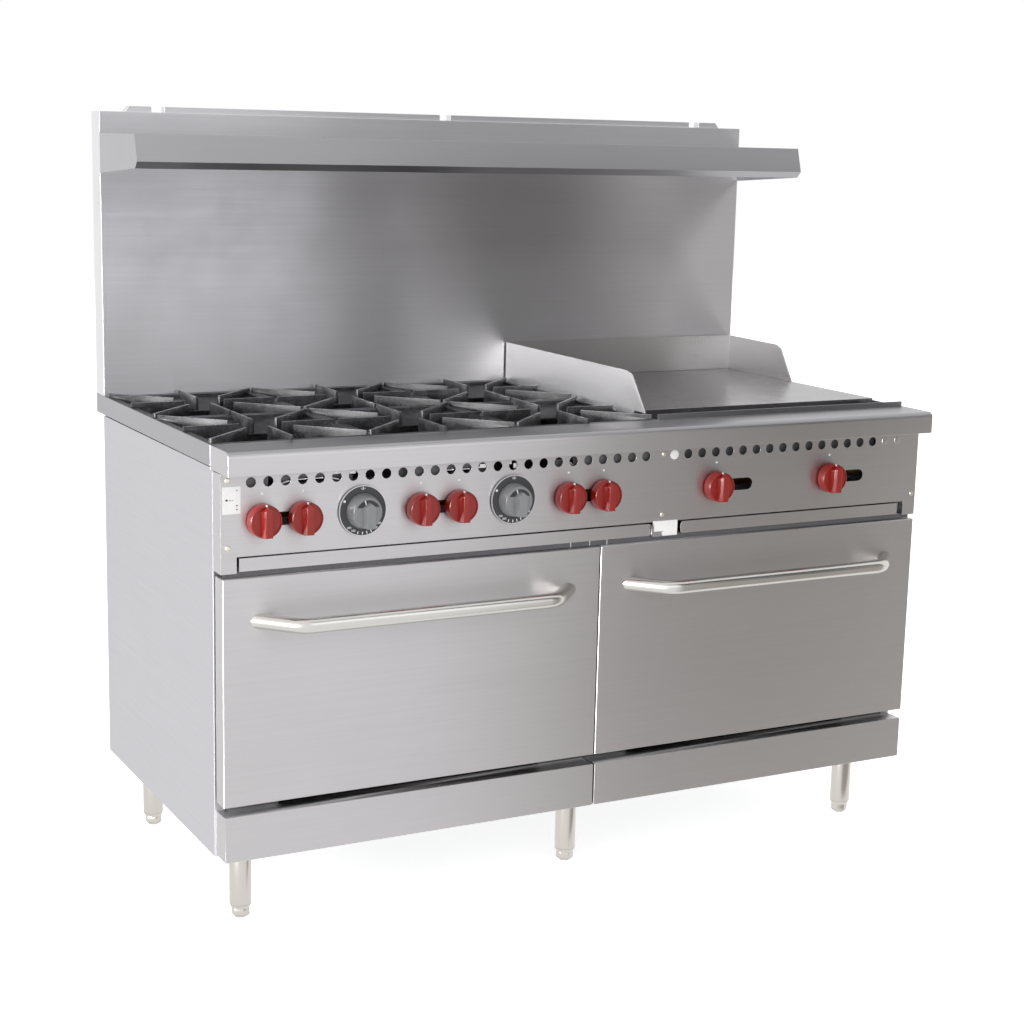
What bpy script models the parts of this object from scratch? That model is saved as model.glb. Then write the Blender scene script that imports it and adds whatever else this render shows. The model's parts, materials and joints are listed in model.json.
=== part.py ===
"""Commercial gas range, 60 inch: six open burners, a 24 inch griddle and two ovens.

Metres, +Z up, +X to the cook's right, the front towards -Y. The origin is on the floor, at the
middle of the overall width and of the overall depth.
"""

import math

import bmesh
import bpy
from mathutils import Matrix, Vector

# Driving dimensions -------------------------------------------------------------------------

WIDTH = 1.524  # overall width
HANDLE_REACH = 0.076  # door face to the front of the door handle
BODY_DEPTH = 0.764  # door face to the back of the riser
DOOR_FACE = HANDLE_REACH - (HANDLE_REACH + BODY_DEPTH) / 2  # Y of the doors' front
GAP = 0.0003  # clearance between pieces that touch

BODY_BOTTOM = 0.1495
KICK_TOP = 0.2344
DOOR_BOTTOM = 0.2529
DOOR_TOP = 0.6695
PANEL_BOTTOM = 0.6787
RAIL_BOTTOM = 0.8563
DECK_BOTTOM = 0.8612
DECK_TOP = 0.8995
GRATE_TOP = 0.908
GRIDDLE_TOP = 0.905
SPLASH_TOP = 0.985
SHELF_TOP = 1.425
RISER_TOP = 1.467
FLUE_TOP = 1.479

HALF_WIDTH = WIDTH / 2
SHEET = 0.002  # folded sheet steel

# Depths, measured back from the door face.
DOOR_THICKNESS = 0.040
PANEL_FRONT = 0.0025
BODY_FRONT = 0.044
BODY_BACK = 0.714
RAIL_FRONT = -0.038
RAIL_BACK = 0.055
RISER_FRONT = 0.708
SHELF_FRONT = 0.475
SHELF_LIP = 0.460
LEG_DEPTHS = (0.105, 0.641)

# Cooktop.
GRATE_FIELD_LEFT = -0.7600
GRATE_FIELD_RIGHT = 0.1505
GRATE_FIELD_FRONT = 0.0573
GRATE_FIELD_BACK = 0.7005
GRATE_SEAT = 0.8690
GRATE_COLUMNS = 3
GRATE_ROWS = 2
GRIDDLE_LEFT = 0.1545
GRIDDLE_RIGHT = 0.7575
GRIDDLE_FRONT = 0.150
GUARD_WALL = 0.003

# Controls.
KNOB_HEIGHT = 0.771
KNOB_RADIUS = 0.030
PAIR_SPACING = 0.0765
BURNER_KNOB_X = (-0.6095, -0.3050, 0.0020)  # the right-hand knob of each pair
GRIDDLE_KNOB_X = (0.2594, 0.5340)
THERMOSTAT_X = (-0.4975, -0.1936)
THERMOSTAT_HEIGHT = 0.775
VENT_HEIGHT = 0.8386
VENT_PITCH = 0.0321
VENT_RADIUS = 0.0096
VENT_FIRST_X = -0.7062
VENTS = tuple(range(26)) + tuple(range(28, 43))

# Openings that the drip trays slide through, as X ranges in the control panel.
TRAY_SLOTS = {"left": (-0.7327, 0.1170), "right": (0.1730, 0.7307)}
TRAY_SLOT_TOP = 0.708

LEG_X = (-0.692, 0.0, 0.692)
LEG_RADIUS = 0.0207
FOOT_RADIUS = 0.0168

SIDES = {"left": -1, "right": 1}

# Scene and materials ------------------------------------------------------------------------


def clear_scene():
    for obj in list(bpy.data.objects):
        bpy.data.objects.remove(obj, do_unlink=True)


def collection(name):
    made = bpy.data.collections.new(name)
    bpy.context.scene.collection.children.link(made)
    return made


def steel_grey(level):
    return (level, level, level * 1.02, 1.0)


MATERIALS = {
    "stainless": (steel_grey(0.56), 0.34, 1.0),
    "side_steel": (steel_grey(0.64), 0.42, 1.0),
    "bright_steel": (steel_grey(0.78), 0.18, 1.0),
    "griddle_steel": (steel_grey(0.30), 0.36, 1.0),
    "galvanised": (steel_grey(0.48), 0.50, 1.0),
    "cast_iron": ((0.045, 0.045, 0.048, 1.0), 0.72, 0.3),
    "enamel": ((0.040, 0.042, 0.050, 1.0), 0.28, 0.0),
    "rack_wire": (steel_grey(0.62), 0.25, 1.0),
    "brass": ((0.52, 0.36, 0.14, 1.0), 0.32, 1.0),
    "red_knob": ((0.42, 0.030, 0.024, 1.0), 0.22, 0.0),
    "grey_knob": ((0.21, 0.21, 0.215, 1.0), 0.38, 0.0),
    "black_bezel": ((0.018, 0.018, 0.020, 1.0), 0.45, 0.0),
}


def material(slot):
    found = bpy.data.materials.get(slot)
    if found:
        return found
    colour, roughness, metallic = MATERIALS[slot]
    made = bpy.data.materials.new(slot)
    made.use_nodes = True
    shader = made.node_tree.nodes["Principled BSDF"]
    shader.inputs["Base Color"].default_value = colour
    shader.inputs["Roughness"].default_value = roughness
    shader.inputs["Metallic"].default_value = metallic
    made.diffuse_color = colour
    return made


# Building blocks ----------------------------------------------------------------------------


def y(depth):
    """World Y of a depth that is measured back from the door face."""
    return DOOR_FACE + depth


def finish(obj, name, slot):
    """Makes obj a named part of the range."""
    obj.name = name
    obj.data.name = name
    obj.data.materials.clear()
    obj.data.materials.append(material(slot))
    for holder in list(obj.users_collection):
        holder.objects.unlink(obj)
    PARTS.objects.link(obj)
    return obj


def helper(obj):
    """Makes obj a hidden operand of a Boolean."""
    for holder in list(obj.users_collection):
        holder.objects.unlink(obj)
    CUTTERS.objects.link(obj)
    obj.hide_render = True
    obj.display_type = "WIRE"
    return obj


def block(low, high):
    """A box between two corners."""
    low, high = Vector(low), Vector(high)
    bpy.ops.mesh.primitive_cube_add(size=1, location=(low + high) / 2)
    obj = bpy.context.object
    obj.data.transform(Matrix.Diagonal((*(high - low), 1)))
    return obj


def rod(start, end, radius, sides=16, end_radius=None):
    """A cylinder between two points, or a cone where end_radius differs."""
    start, end = Vector(start), Vector(end)
    mesh = bpy.data.meshes.new("rod")
    shape = bmesh.new()
    last = radius if end_radius is None else end_radius
    length = (end - start).length
    bmesh.ops.create_cone(shape, cap_ends=True, segments=sides, radius1=radius, radius2=last, depth=length)
    shape.to_mesh(mesh)
    shape.free()
    obj = bpy.data.objects.new("rod", mesh)
    turn = (end - start).to_track_quat("Z", "Y").to_matrix().to_4x4()
    mesh.transform(Matrix.Translation((start + end) / 2) @ turn)
    CUTTERS.objects.link(obj)
    return obj


def meshed(obj):
    """A mesh object in place of a curve object, with its caps welded."""
    graph = bpy.context.evaluated_depsgraph_get()
    mesh = bpy.data.meshes.new_from_object(obj.evaluated_get(graph))
    shape = bmesh.new()
    shape.from_mesh(mesh)
    bmesh.ops.remove_doubles(shape, verts=shape.verts, dist=0.00001)
    bmesh.ops.recalc_face_normals(shape, faces=shape.faces)
    shape.to_mesh(mesh)
    shape.free()
    made = bpy.data.objects.new(obj.name, mesh)
    made.matrix_world = obj.matrix_world.copy()
    CUTTERS.objects.link(made)
    bpy.data.objects.remove(obj)
    return made


def side_profile(outline, left, right):
    """An outline of (depth, height) points, extruded along X from left to right."""
    curve = bpy.data.curves.new("profile", "CURVE")
    curve.dimensions = "2D"
    curve.fill_mode = "BOTH"
    curve.extrude = (right - left) / 2
    spline = curve.splines.new("POLY")
    spline.points.add(len(outline) - 1)
    for point, (depth, height) in zip(spline.points, outline):
        point.co = (y(depth), height, 0, 1)
    spline.use_cyclic_u = True
    obj = bpy.data.objects.new("profile", curve)
    CUTTERS.objects.link(obj)
    obj.rotation_euler = (math.pi / 2, 0, math.pi / 2)
    obj.location.x = (left + right) / 2
    bpy.context.view_layer.update()
    return meshed(obj)


def tube(points, radius, resolution=2):
    """A round tube along a list of points, with closed ends."""
    curve = bpy.data.curves.new("tube", "CURVE")
    curve.dimensions = "3D"
    curve.bevel_depth = radius
    curve.bevel_resolution = resolution
    curve.use_fill_caps = True
    spline = curve.splines.new("POLY")
    spline.points.add(len(points) - 1)
    for target, point in zip(spline.points, points):
        target.co = (*point, 1)
    obj = bpy.data.objects.new("tube", curve)
    CUTTERS.objects.link(obj)
    bpy.context.view_layer.update()
    return meshed(obj)


def turned(profile, steps=18):
    """A solid turned about Z from a (radius, height) profile that starts and ends on the axis."""
    mesh = bpy.data.meshes.new("turned")
    shape = bmesh.new()
    points = [shape.verts.new((radius, 0, height)) for radius, height in profile]
    for first, second in zip(points, points[1:]):
        shape.edges.new((first, second))
    shape.to_mesh(mesh)
    shape.free()
    obj = bpy.data.objects.new("turned", mesh)
    CUTTERS.objects.link(obj)
    screw = obj.modifiers.new("turn", "SCREW")
    screw.steps = screw.render_steps = steps
    screw.use_merge_vertices = True
    screw.merge_threshold = 0.00001
    made = bpy.data.objects.new("turned", baked(obj))
    CUTTERS.objects.link(made)
    return made


def joined(objects):
    """One mesh object that holds several separate solids, to be used in one Boolean."""
    shape = bmesh.new()
    for obj in objects:
        bpy.context.view_layer.update()
        obj.data.transform(obj.matrix_world)
        shape.from_mesh(obj.data)
        bpy.data.objects.remove(obj)
    mesh = bpy.data.meshes.new("joined")
    shape.to_mesh(mesh)
    shape.free()
    made = bpy.data.objects.new("joined", mesh)
    CUTTERS.objects.link(made)
    return made


def boolean(target, other, operation):
    modifier = target.modifiers.new(operation.lower(), "BOOLEAN")
    modifier.operation = operation
    modifier.object = helper(other)


def cut(target, *cutters):
    for cutter in cutters:
        boolean(target, cutter, "DIFFERENCE")
    return target


def add(target, *others):
    for other in others:
        boolean(target, other, "UNION")
    return target


def bevelled(obj, width, segments=2, angle=40):
    modifier = obj.modifiers.new("bevel", "BEVEL")
    modifier.width = width
    modifier.segments = segments
    modifier.limit_method = "ANGLE"
    modifier.angle_limit = math.radians(angle)
    return obj


def baked(obj):
    """The evaluated mesh of obj, for copies to share. The object is removed."""
    graph = bpy.context.evaluated_depsgraph_get()
    mesh = bpy.data.meshes.new_from_object(obj.evaluated_get(graph))
    mesh.transform(obj.matrix_world)
    bpy.data.objects.remove(obj)
    return mesh


def copy_of(mesh, name, slot, location):
    obj = bpy.data.objects.new(name, mesh)
    PARTS.objects.link(obj)
    obj.location = location
    if not mesh.materials:
        mesh.materials.append(material(slot))
    return obj


def smooth(obj, angle=35):
    obj.data.shade_smooth()
    obj.data.set_sharp_from_angle(angle=math.radians(angle))
    return obj


def shell(low, high, open_side, wall=SHEET, edge=0):
    """A box of sheet that is open on one side, named as -X, +X, -Y, +Y, -Z or +Z."""
    axis = "XYZ".index(open_side[1])
    inner_low = [value + wall for value in low]
    inner_high = [value - wall for value in high]
    beyond = 0.01
    if open_side[0] == "+":
        inner_high[axis] = high[axis] + beyond
    else:
        inner_low[axis] = low[axis] - beyond
    outer = block(low, high)
    if edge:
        bevelled(outer, edge, 1)
    return cut(outer, block(inner_low, inner_high))


# Body ---------------------------------------------------------------------------------------


def side_panels():
    fold = 0.020
    for side, sign in SIDES.items():
        outer, inner = sign * HALF_WIDTH, sign * (HALF_WIDTH - fold)
        low = (min(outer, inner), y(BODY_FRONT), BODY_BOTTOM - 0.001)
        high = (max(outer, inner), y(BODY_BACK), 0.8595)
        panel = shell(low, high, "+X" if sign < 0 else "-X")
        notch_low = (low[0] - 0.01, y(BODY_FRONT - 0.01), RAIL_BOTTOM - GAP)
        cut(panel, block(notch_low, (high[0] + 0.01, y(RAIL_BACK + GAP), 0.87)))
        finish(panel, f"side_panel_{side}", "side_steel")


def back_panel():
    half = HALF_WIDTH - 0.0225
    panel = shell((-half, y(0.700), 0.182), (half, y(0.712), 0.8595), "-Y")
    finish(panel, "back_panel", "galvanised")


OVEN_LEFT = 0.040  # the right-hand oven, from the middle of the range
OVEN_RIGHT = 0.700
OVEN_BOTTOM = 0.275
OVEN_TOP = 0.655
OVEN_FRONT = 0.0583
OVEN_BACK = 0.660
OVEN_WALL = 0.004


def chassis():
    """The base pan and the welded front frame that carries the ovens, doors and controls."""
    half = HALF_WIDTH - 0.0225
    frame_front, frame_back = 0.046, 0.058
    base = shell((-half, y(frame_front), BODY_BOTTOM), (half, y(0.698), 0.180), "+Z", wall=0.003)
    front = block((-half, y(frame_front), BODY_BOTTOM), (half, y(frame_back), 0.8555))
    add(base, front)
    for sign in SIDES.values():
        near, far = sign * (OVEN_LEFT + OVEN_WALL), sign * (OVEN_RIGHT - OVEN_WALL)
        low = (min(near, far), y(0.03), OVEN_BOTTOM + OVEN_WALL)
        high = (max(near, far), y(0.07), OVEN_TOP - OVEN_WALL)
        cut(base, block(low, high))
        near, far = sign * 0.10, sign * 0.64
        low = (min(near, far), y(0.03), 0.195)
        high = (max(near, far), y(0.07), 0.250)
        cut(base, block(low, high))
    cut(base, block((-0.735, y(0.03), 0.6795), (0.735, y(0.07), 0.850)))
    finish(base, "chassis", "galvanised")


def kick_plates():
    for side, sign in SIDES.items():
        near, far = sign * 0.0015, sign * (HALF_WIDTH - 0.0045)
        low = (min(near, far), y(-0.001), BODY_BOTTOM)
        high = (max(near, far), y(BODY_FRONT - GAP), KICK_TOP)
        finish(shell(low, high, "+Y", edge=0.0008), f"kick_plate_{side}", "stainless")


def legs():
    top = BODY_BOTTOM - GAP
    profile = (
        (0, top),
        (0.030, top),
        (0.030, top - 0.004),
        (LEG_RADIUS, top - 0.008),
        (LEG_RADIUS, 0.0265),
        (FOOT_RADIUS, 0.0190),
        (FOOT_RADIUS, 0.0045),
        (FOOT_RADIUS - 0.0035, 0),
        (0, 0),
    )
    leg = baked(turned(profile))
    for row, depth in zip(("front", "rear"), LEG_DEPTHS):
        for place, x in zip(("left", "middle", "right"), LEG_X):
            smooth(copy_of(leg, f"leg_{row}_{place}", "bright_steel", (x, y(depth), 0)))


# Ovens --------------------------------------------------------------------------------------


def ovens():
    ledge_height, ledge_width = 0.460, 0.010
    for side, sign in SIDES.items():
        near, far = sorted((sign * OVEN_LEFT, sign * OVEN_RIGHT))
        low = (near, y(OVEN_FRONT), OVEN_BOTTOM)
        high = (far, y(OVEN_BACK), OVEN_TOP)
        cavity = shell(low, high, "-Y", wall=OVEN_WALL)
        for wall, inward in ((near, 1), (far, -1)):
            first = wall + inward * (OVEN_WALL - 0.001)
            second = wall + inward * (OVEN_WALL + ledge_width)
            ledge = block(
                (min(first, second), y(0.075), ledge_height - 0.006),
                (max(first, second), y(OVEN_BACK - 0.02), ledge_height),
            )
            add(cavity, ledge)
        finish(cavity, f"oven_cavity_{side}", "enamel")
        oven_rack(side, near + OVEN_WALL + 0.003, far - OVEN_WALL - 0.003, ledge_height + GAP)
        oven_burner(side, (near + far) / 2)


def oven_rack(side, left, right, height):
    """A wire rack: a rim with wires from front to back and one cross wire."""
    front, back, wire = 0.130, 0.640, 0.006
    rack = block((left, y(front), height), (right, y(back), height + wire))
    count, rim = 12, 0.010
    pitch = (right - left - 2 * rim + wire) / count
    middle = (front + back) / 2
    slots = []
    for index in range(count):
        start = left + rim + index * pitch
        for near, far in ((front + rim, middle - wire / 2), (middle + wire / 2, back - rim)):
            slots.append(block((start, y(near), height - wire), (start + pitch - wire, y(far), height + 2 * wire)))
    cut(rack, joined(slots))
    finish(rack, f"oven_rack_{side}", "rack_wire")


def oven_burner(side, x):
    """A straight tube burner under the oven floor, on two feet."""
    height, radius = 0.215, 0.020
    burner = rod((x, y(0.120), height), (x, y(0.600), height), radius)
    for depth in (0.160, 0.560):
        foot = block((x - 0.030, y(depth), 0.1528), (x + 0.030, y(depth + 0.020), height))
        add(burner, foot)
    finish(burner, f"oven_burner_{side}", "cast_iron")


def oven_doors():
    for side, sign in SIDES.items():
        near, far = sorted((sign * 0.0012, sign * (HALF_WIDTH - 0.0022)))
        low = (near, y(0), DOOR_BOTTOM)
        high = (far, y(DOOR_THICKNESS), DOOR_TOP)
        finish(shell(low, high, "+Y", edge=0.0012), f"oven_door_{side}", "stainless")
        inset = SHEET + GAP
        liner = block((near + inset, y(0.022), DOOR_BOTTOM + inset), (far - inset, y(0.0395), DOOR_TOP - inset))
        recess = 0.060
        pocket = block(
            (near + recess, y(0.034), DOOR_BOTTOM + recess),
            (far - recess, y(0.050), DOOR_TOP - recess),
        )
        finish(cut(liner, pocket), f"door_liner_{side}", "enamel")
        door_handle(side, (near + far) / 2)


def door_handle(side, middle):
    """A tube with a sloping leg at each end, cut flush with the door."""
    half_length, stand_off, radius, height = 0.3275, 0.062, 0.014, 0.590
    slope, bend, steps, beyond = math.radians(48), 0.045, 5, 0.030
    crossing = half_length - radius / math.sin(slope)  # where the leg's axis meets the door
    corner = crossing - stand_off / math.tan(slope)  # where it would meet the straight run
    straight_end = corner - bend * math.tan(slope / 2)
    half = [(crossing + beyond * math.cos(slope), -beyond * math.sin(slope))]
    for step in range(steps + 1):
        angle = slope * (1 - step / steps)
        half.append((straight_end + bend * math.sin(angle), stand_off - bend * (1 - math.cos(angle))))
    route = [(-x, out) for x, out in half] + half[::-1]
    handle = tube([(middle + x, y(-out), height) for x, out in route], radius, 3)
    door = block((middle - 0.40, y(-GAP), height - 0.05), (middle + 0.40, y(0.10), height + 0.05))
    finish(smooth(cut(handle, door)), f"door_handle_{side}", "bright_steel")


# Controls -----------------------------------------------------------------------------------


def obround(left, right, height, half_height, front, back):
    """A cutter for a slot with round ends, through the panel."""
    straight = block((left, y(front), height - half_height), (right, y(back), height + half_height))
    ends = [rod((x, y(front - 0.001), height), (x, y(back + 0.001), height), half_height) for x in (left, right)]
    return add(straight, *ends)


def control_panel():
    low = (-HALF_WIDTH, y(PANEL_FRONT), PANEL_BOTTOM)
    high = (HALF_WIDTH, y(0.0435), RAIL_BOTTOM - 0.0008)
    panel = shell(low, high, "+Y")
    front, back = PANEL_FRONT - 0.01, PANEL_FRONT + 0.02
    for left, right in TRAY_SLOTS.values():
        cut(panel, block((left, y(front), PANEL_BOTTOM - 0.01), (right, y(0.06), TRAY_SLOT_TOP)))
    vents = []
    for index in VENTS:
        x = VENT_FIRST_X + index * VENT_PITCH
        vents.append(rod((x, y(front), VENT_HEIGHT), (x, y(back), VENT_HEIGHT), VENT_RADIUS, sides=10))
    for x in THERMOSTAT_X:
        vents.append(rod((x, y(front), THERMOSTAT_HEIGHT), (x, y(back), THERMOSTAT_HEIGHT), 0.015))
    cut(panel, joined(vents))
    for x in BURNER_KNOB_X:
        cut(panel, obround(x - PAIR_SPACING, x, KNOB_HEIGHT, 0.012, front, back))
    for x in GRIDDLE_KNOB_X:
        cut(panel, obround(x, x + 0.0755, KNOB_HEIGHT, 0.012, front, back))
    finish(panel, "control_panel", "stainless")


def front_rail():
    """The landing ledge: a folded rail with a rolled front edge and closed ends."""
    roll = 0.011
    rail = side_profile(rail_outline(0, roll), -HALF_WIDTH, HALF_WIDTH)
    hollow = side_profile(rail_outline(SHEET, roll), -HALF_WIDTH + SHEET, HALF_WIDTH - SHEET)
    finish(cut(rail, hollow), "front_rail", "stainless")


def rail_outline(inset, roll, steps=5):
    front, back = RAIL_FRONT + inset, RAIL_BACK + (0.01 if inset else 0)
    bottom, top = RAIL_BOTTOM + inset, DECK_TOP - inset
    radius = roll - inset
    outline = [(back, bottom), (back, top)]
    for step in range(steps + 1):
        angle = math.pi / 2 * (1 + step / steps)
        outline.append((front + radius + radius * math.cos(angle), top - radius + radius * math.sin(angle)))
    outline.append((front, bottom))
    return outline


def grip_bar(root, front, root_half, front_half, low, high):
    """A bar grip whose sides taper from its root to its front."""
    bar = block((-root_half, front, low), (root_half, root, high))
    for point in bar.data.vertices:
        if point.co.y < 0:
            point.co.x *= front_half / root_half
    return bevelled(bar, 0.0015, 1)


def knob_mesh():
    """A burner knob at the origin, facing -Y: a round skirt, a bar grip and the stem behind."""
    back, face, grip = -0.0005, -0.0215, -0.0350
    skirt = rod((0, back, 0), (0, face, 0), KNOB_RADIUS, 24, KNOB_RADIUS - 0.0005)
    bar = grip_bar(face + 0.004, grip, 0.0115, 0.0066, -0.0265, 0.0270)
    stem = rod((0, back - 0.004, 0), (0, 0.0297, 0), 0.004, 10)
    return baked(add(skirt, bar, stem))


def knobs():
    mesh = knob_mesh()
    columns = ("left", "centre", "right")
    for column, x in zip(columns, BURNER_KNOB_X):
        copy_of(mesh, f"knob_rear_{column}", "red_knob", (x - PAIR_SPACING, y(0), KNOB_HEIGHT))
        copy_of(mesh, f"knob_front_{column}", "red_knob", (x, y(0), KNOB_HEIGHT))
    for side, x in zip(SIDES, GRIDDLE_KNOB_X):
        copy_of(mesh, f"knob_griddle_{side}", "red_knob", (x, y(0), KNOB_HEIGHT))


def thermostats():
    for side, x in zip(SIDES, THERMOSTAT_X):
        bezel = rod((0, -0.0028, 0), (0, 0.0022, 0), 0.045, 32)
        shaft = rod((0, 0, 0), (0, 0.015, 0), 0.012, 16)
        body = block((-0.030, 0.012, -0.026), (0.030, 0.040, 0.026))
        mesh = baked(add(bezel, shaft, body))
        copy_of(mesh, f"thermostat_{side}", "black_bezel", (x, y(0), THERMOSTAT_HEIGHT))
        skirt = rod((0, -0.0031, 0), (0, -0.0265, 0), 0.0325, 28, 0.0275)
        bar = grip_bar(-0.0225, -0.0436, 0.0098, 0.0078, -0.0260, 0.0190)
        mesh = baked(add(skirt, bar))
        copy_of(mesh, f"thermostat_knob_{side}", "grey_knob", (x, y(0), THERMOSTAT_HEIGHT))


def gas_manifold():
    """The gas pipe behind the panel, with a valve in front of it at each burner knob."""
    depth, radius = 0.085, 0.0165
    pipe = rod((-0.720, y(depth), KNOB_HEIGHT), (0.720, y(depth), KNOB_HEIGHT), radius)
    places = [x - shift for x in BURNER_KNOB_X for shift in (0, PAIR_SPACING)] + list(GRIDDLE_KNOB_X)
    valves = [rod((x, y(0.030), KNOB_HEIGHT), (x, y(depth), KNOB_HEIGHT), 0.010, 12) for x in places]
    finish(add(pipe, joined(valves)), "gas_manifold", "brass")


# Cooktop ------------------------------------------------------------------------------------

GRATE_WIDTH = (GRATE_FIELD_RIGHT - GRATE_FIELD_LEFT) / GRATE_COLUMNS
GRATE_DEPTH = (GRATE_FIELD_BACK - GRATE_FIELD_FRONT) / GRATE_ROWS


def grate_centres():
    """(name, x, depth) of each grate, front row first."""
    for row, row_name in enumerate(("front", "rear")):
        for column, column_name in enumerate(("left", "centre", "right")):
            x = GRATE_FIELD_LEFT + GRATE_WIDTH * (column + 0.5)
            depth = GRATE_FIELD_FRONT + GRATE_DEPTH * (row + 0.5)
            yield f"{row_name}_{column_name}", x, depth


def cooktop_frame():
    """The welded deck: side rails, seats for the grates and the griddle, and the flue box."""
    deck = block((-HALF_WIDTH, y(RAIL_BACK + GAP), DECK_BOTTOM), (HALF_WIDTH, y(BODY_DEPTH), DECK_TOP))
    above = DECK_TOP + 0.01
    pockets = ((GRATE_FIELD_LEFT, GRATE_FIELD_RIGHT), (GRATE_FIELD_RIGHT + 0.002, -GRATE_FIELD_LEFT))
    for left, right in pockets:
        low = (left, y(GRATE_FIELD_FRONT), GRATE_SEAT)
        cut(deck, block(low, (right, y(GRATE_FIELD_BACK), above)))
    below = DECK_BOTTOM - 0.01
    half_x, half_y = 0.130, 0.138
    holes = []
    for _, x, depth in grate_centres():
        holes.append(block((x - half_x, y(depth - half_y), below), (x + half_x, y(depth + half_y), above)))
    holes.append(block((0.180, y(0.110), below), (0.735, y(0.680), above)))
    holes.append(block((-0.700, y(0.716), below), (0.700, y(0.756), above)))
    cut(deck, joined(holes))
    finish(deck, "cooktop_frame", "stainless")


def grate_mesh():
    """One grate, centred on the origin: a rim, a dished bowl and eight fingers."""
    gap, rim, base = 0.0005, 0.013, GRATE_SEAT + GAP
    half_x, half_y = GRATE_WIDTH / 2 - gap / 2, GRATE_DEPTH / 2 - gap / 2
    frame = block((-half_x, -half_y, base), (half_x, half_y, DECK_TOP))
    hollow = block((rim - half_x, rim - half_y, base - 0.01), (half_x - rim, half_y - rim, DECK_TOP + 0.01))
    cut(frame, hollow)
    add(frame, bowl(half_x - rim + 0.004, half_y - rim + 0.004, 0.893, 0.060, 0.876))
    fingers = []
    for index in range(8):
        angle = math.pi / 4 * index
        direction = Vector((math.cos(angle), math.sin(angle), 0))
        reach = min(
            (size - 0.004) / abs(part) for size, part in zip((half_x, half_y), direction) if abs(part) > 0.01
        )
        start = 0.042 if index % 2 == 0 else 0.066
        finger = block((start, -0.0035, 0.878), (reach, 0.0035, GRATE_TOP))
        finger.rotation_euler.z = angle
        finger.location = Matrix.Rotation(angle, 3, "Z") @ finger.location
        fingers.append(finger)
    add(frame, joined(fingers))
    return baked(frame)


def bowl(half_x, half_y, top, half_hole, bottom):
    """The dished plate: four sloping walls between the rim and a square hole."""
    bpy.ops.mesh.primitive_plane_add(size=2)
    plate = bpy.context.object
    shape = bmesh.new()
    shape.from_mesh(plate.data)
    bmesh.ops.inset_individual(shape, faces=shape.faces[:], thickness=0.3)
    inner = min(shape.faces, key=lambda face: face.calc_center_median().length)
    inner_points = set(inner.verts)
    bmesh.ops.delete(shape, geom=[inner], context="FACES_ONLY")
    for point in shape.verts:
        inside = point in inner_points
        size_x, size_y = (half_hole, half_hole) if inside else (half_x, half_y)
        point.co = (math.copysign(size_x, point.co.x), math.copysign(size_y, point.co.y), bottom if inside else top)
    shape.to_mesh(plate.data)
    shape.free()
    solid = plate.modifiers.new("thickness", "SOLIDIFY")
    solid.thickness = 0.005
    solid.offset = -1
    made = bpy.data.objects.new("bowl", baked(plate))
    CUTTERS.objects.link(made)
    return made


def grates_and_burners():
    grate = grate_mesh()
    for name, x, depth in grate_centres():
        copy_of(grate, f"grate_{name}", "cast_iron", (x, y(depth), 0))
        burner(name, x, y(depth))


def burner(name, x, centre):
    """An open-top burner: a lift-off head on its base, and a venturi to the manifold."""
    height, radius, front = 0.806, 0.014, y(0.108)
    profile = (
        (0, 0.860),
        (0.016, 0.860),
        (0.020, 0.852),
        (0.036, 0.856),
        (0.052, 0.838),
        (0.052, 0.828),
        (0.044, 0.790),
        (0, 0.790),
    )
    head = turned(profile, 20)
    head.location = (x, centre, 0)
    if name.startswith("rear"):
        path = [(x - PAIR_SPACING, front, height), (x - PAIR_SPACING, centre - 0.120, height), (x, centre, height)]
    else:
        path = [(x, front, height), (x, centre, height)]
    finish(add(head, tube(path, radius)), f"burner_{name}", "cast_iron")


def griddle():
    """The plate on its two side bars, clear of the guards that stand beside it."""
    thickness, back = 0.0205, 0.6985
    left, right = GRIDDLE_LEFT + GUARD_WALL + GAP, GRIDDLE_RIGHT - GUARD_WALL - GAP
    plate = block((left, y(GRIDDLE_FRONT), GRIDDLE_TOP - thickness), (right, y(back), GRIDDLE_TOP))
    for near, far in ((left, GRIDDLE_LEFT + 0.012), (GRIDDLE_RIGHT - 0.012, right)):
        low = (near, y(GRIDDLE_FRONT), GRATE_SEAT + GAP)
        add(plate, block(low, (far, y(back), GRIDDLE_TOP - thickness / 2)))
    finish(plate, "griddle_plate", "griddle_steel")
    griddle_splash()
    griddle_burner()
    grease_trough()


def griddle_splash():
    """The rear splash and both side guards, with sloping front edges and a foot beside the plate."""
    foot = GRIDDLE_TOP + GAP
    rear = block((GRIDDLE_LEFT, y(0.700), foot), (GRIDDLE_RIGHT, y(0.703), SPLASH_TOP))
    guards = (
        (GRIDDLE_LEFT, 0.108, 0.162),
        (GRIDDLE_RIGHT - GUARD_WALL, 0.447, 0.492),
    )
    for left, toe, shoulder in guards:
        skirt = max(toe, GRIDDLE_FRONT)
        outline = [(0.6995, GRATE_SEAT + GAP), (0.6995, foot + 0.002), (0.702, foot + 0.002)]
        outline.append((0.702, SPLASH_TOP - 0.0005))
        outline += [(shoulder + 0.018, SPLASH_TOP - 0.003), (shoulder, SPLASH_TOP - 0.010), (toe, foot)]
        if skirt > toe:
            outline.append((skirt, foot))
        outline.append((skirt, GRATE_SEAT + GAP))
        add(rear, side_profile(outline, left, left + GUARD_WALL))
    finish(rear, "griddle_splash", "stainless")


def griddle_burner():
    """Two tube burners under the plate, joined by a crossover at the front."""
    height = 0.836
    crossover = rod((0.280, y(0.132), height), (0.640, y(0.132), height), 0.016)
    bars = [rod((x, y(0.132), height), (x, y(0.640), height), 0.0125, 12) for x in (0.310, 0.610)]
    finish(add(crossover, joined(bars)), "griddle_burner", "cast_iron")


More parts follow.
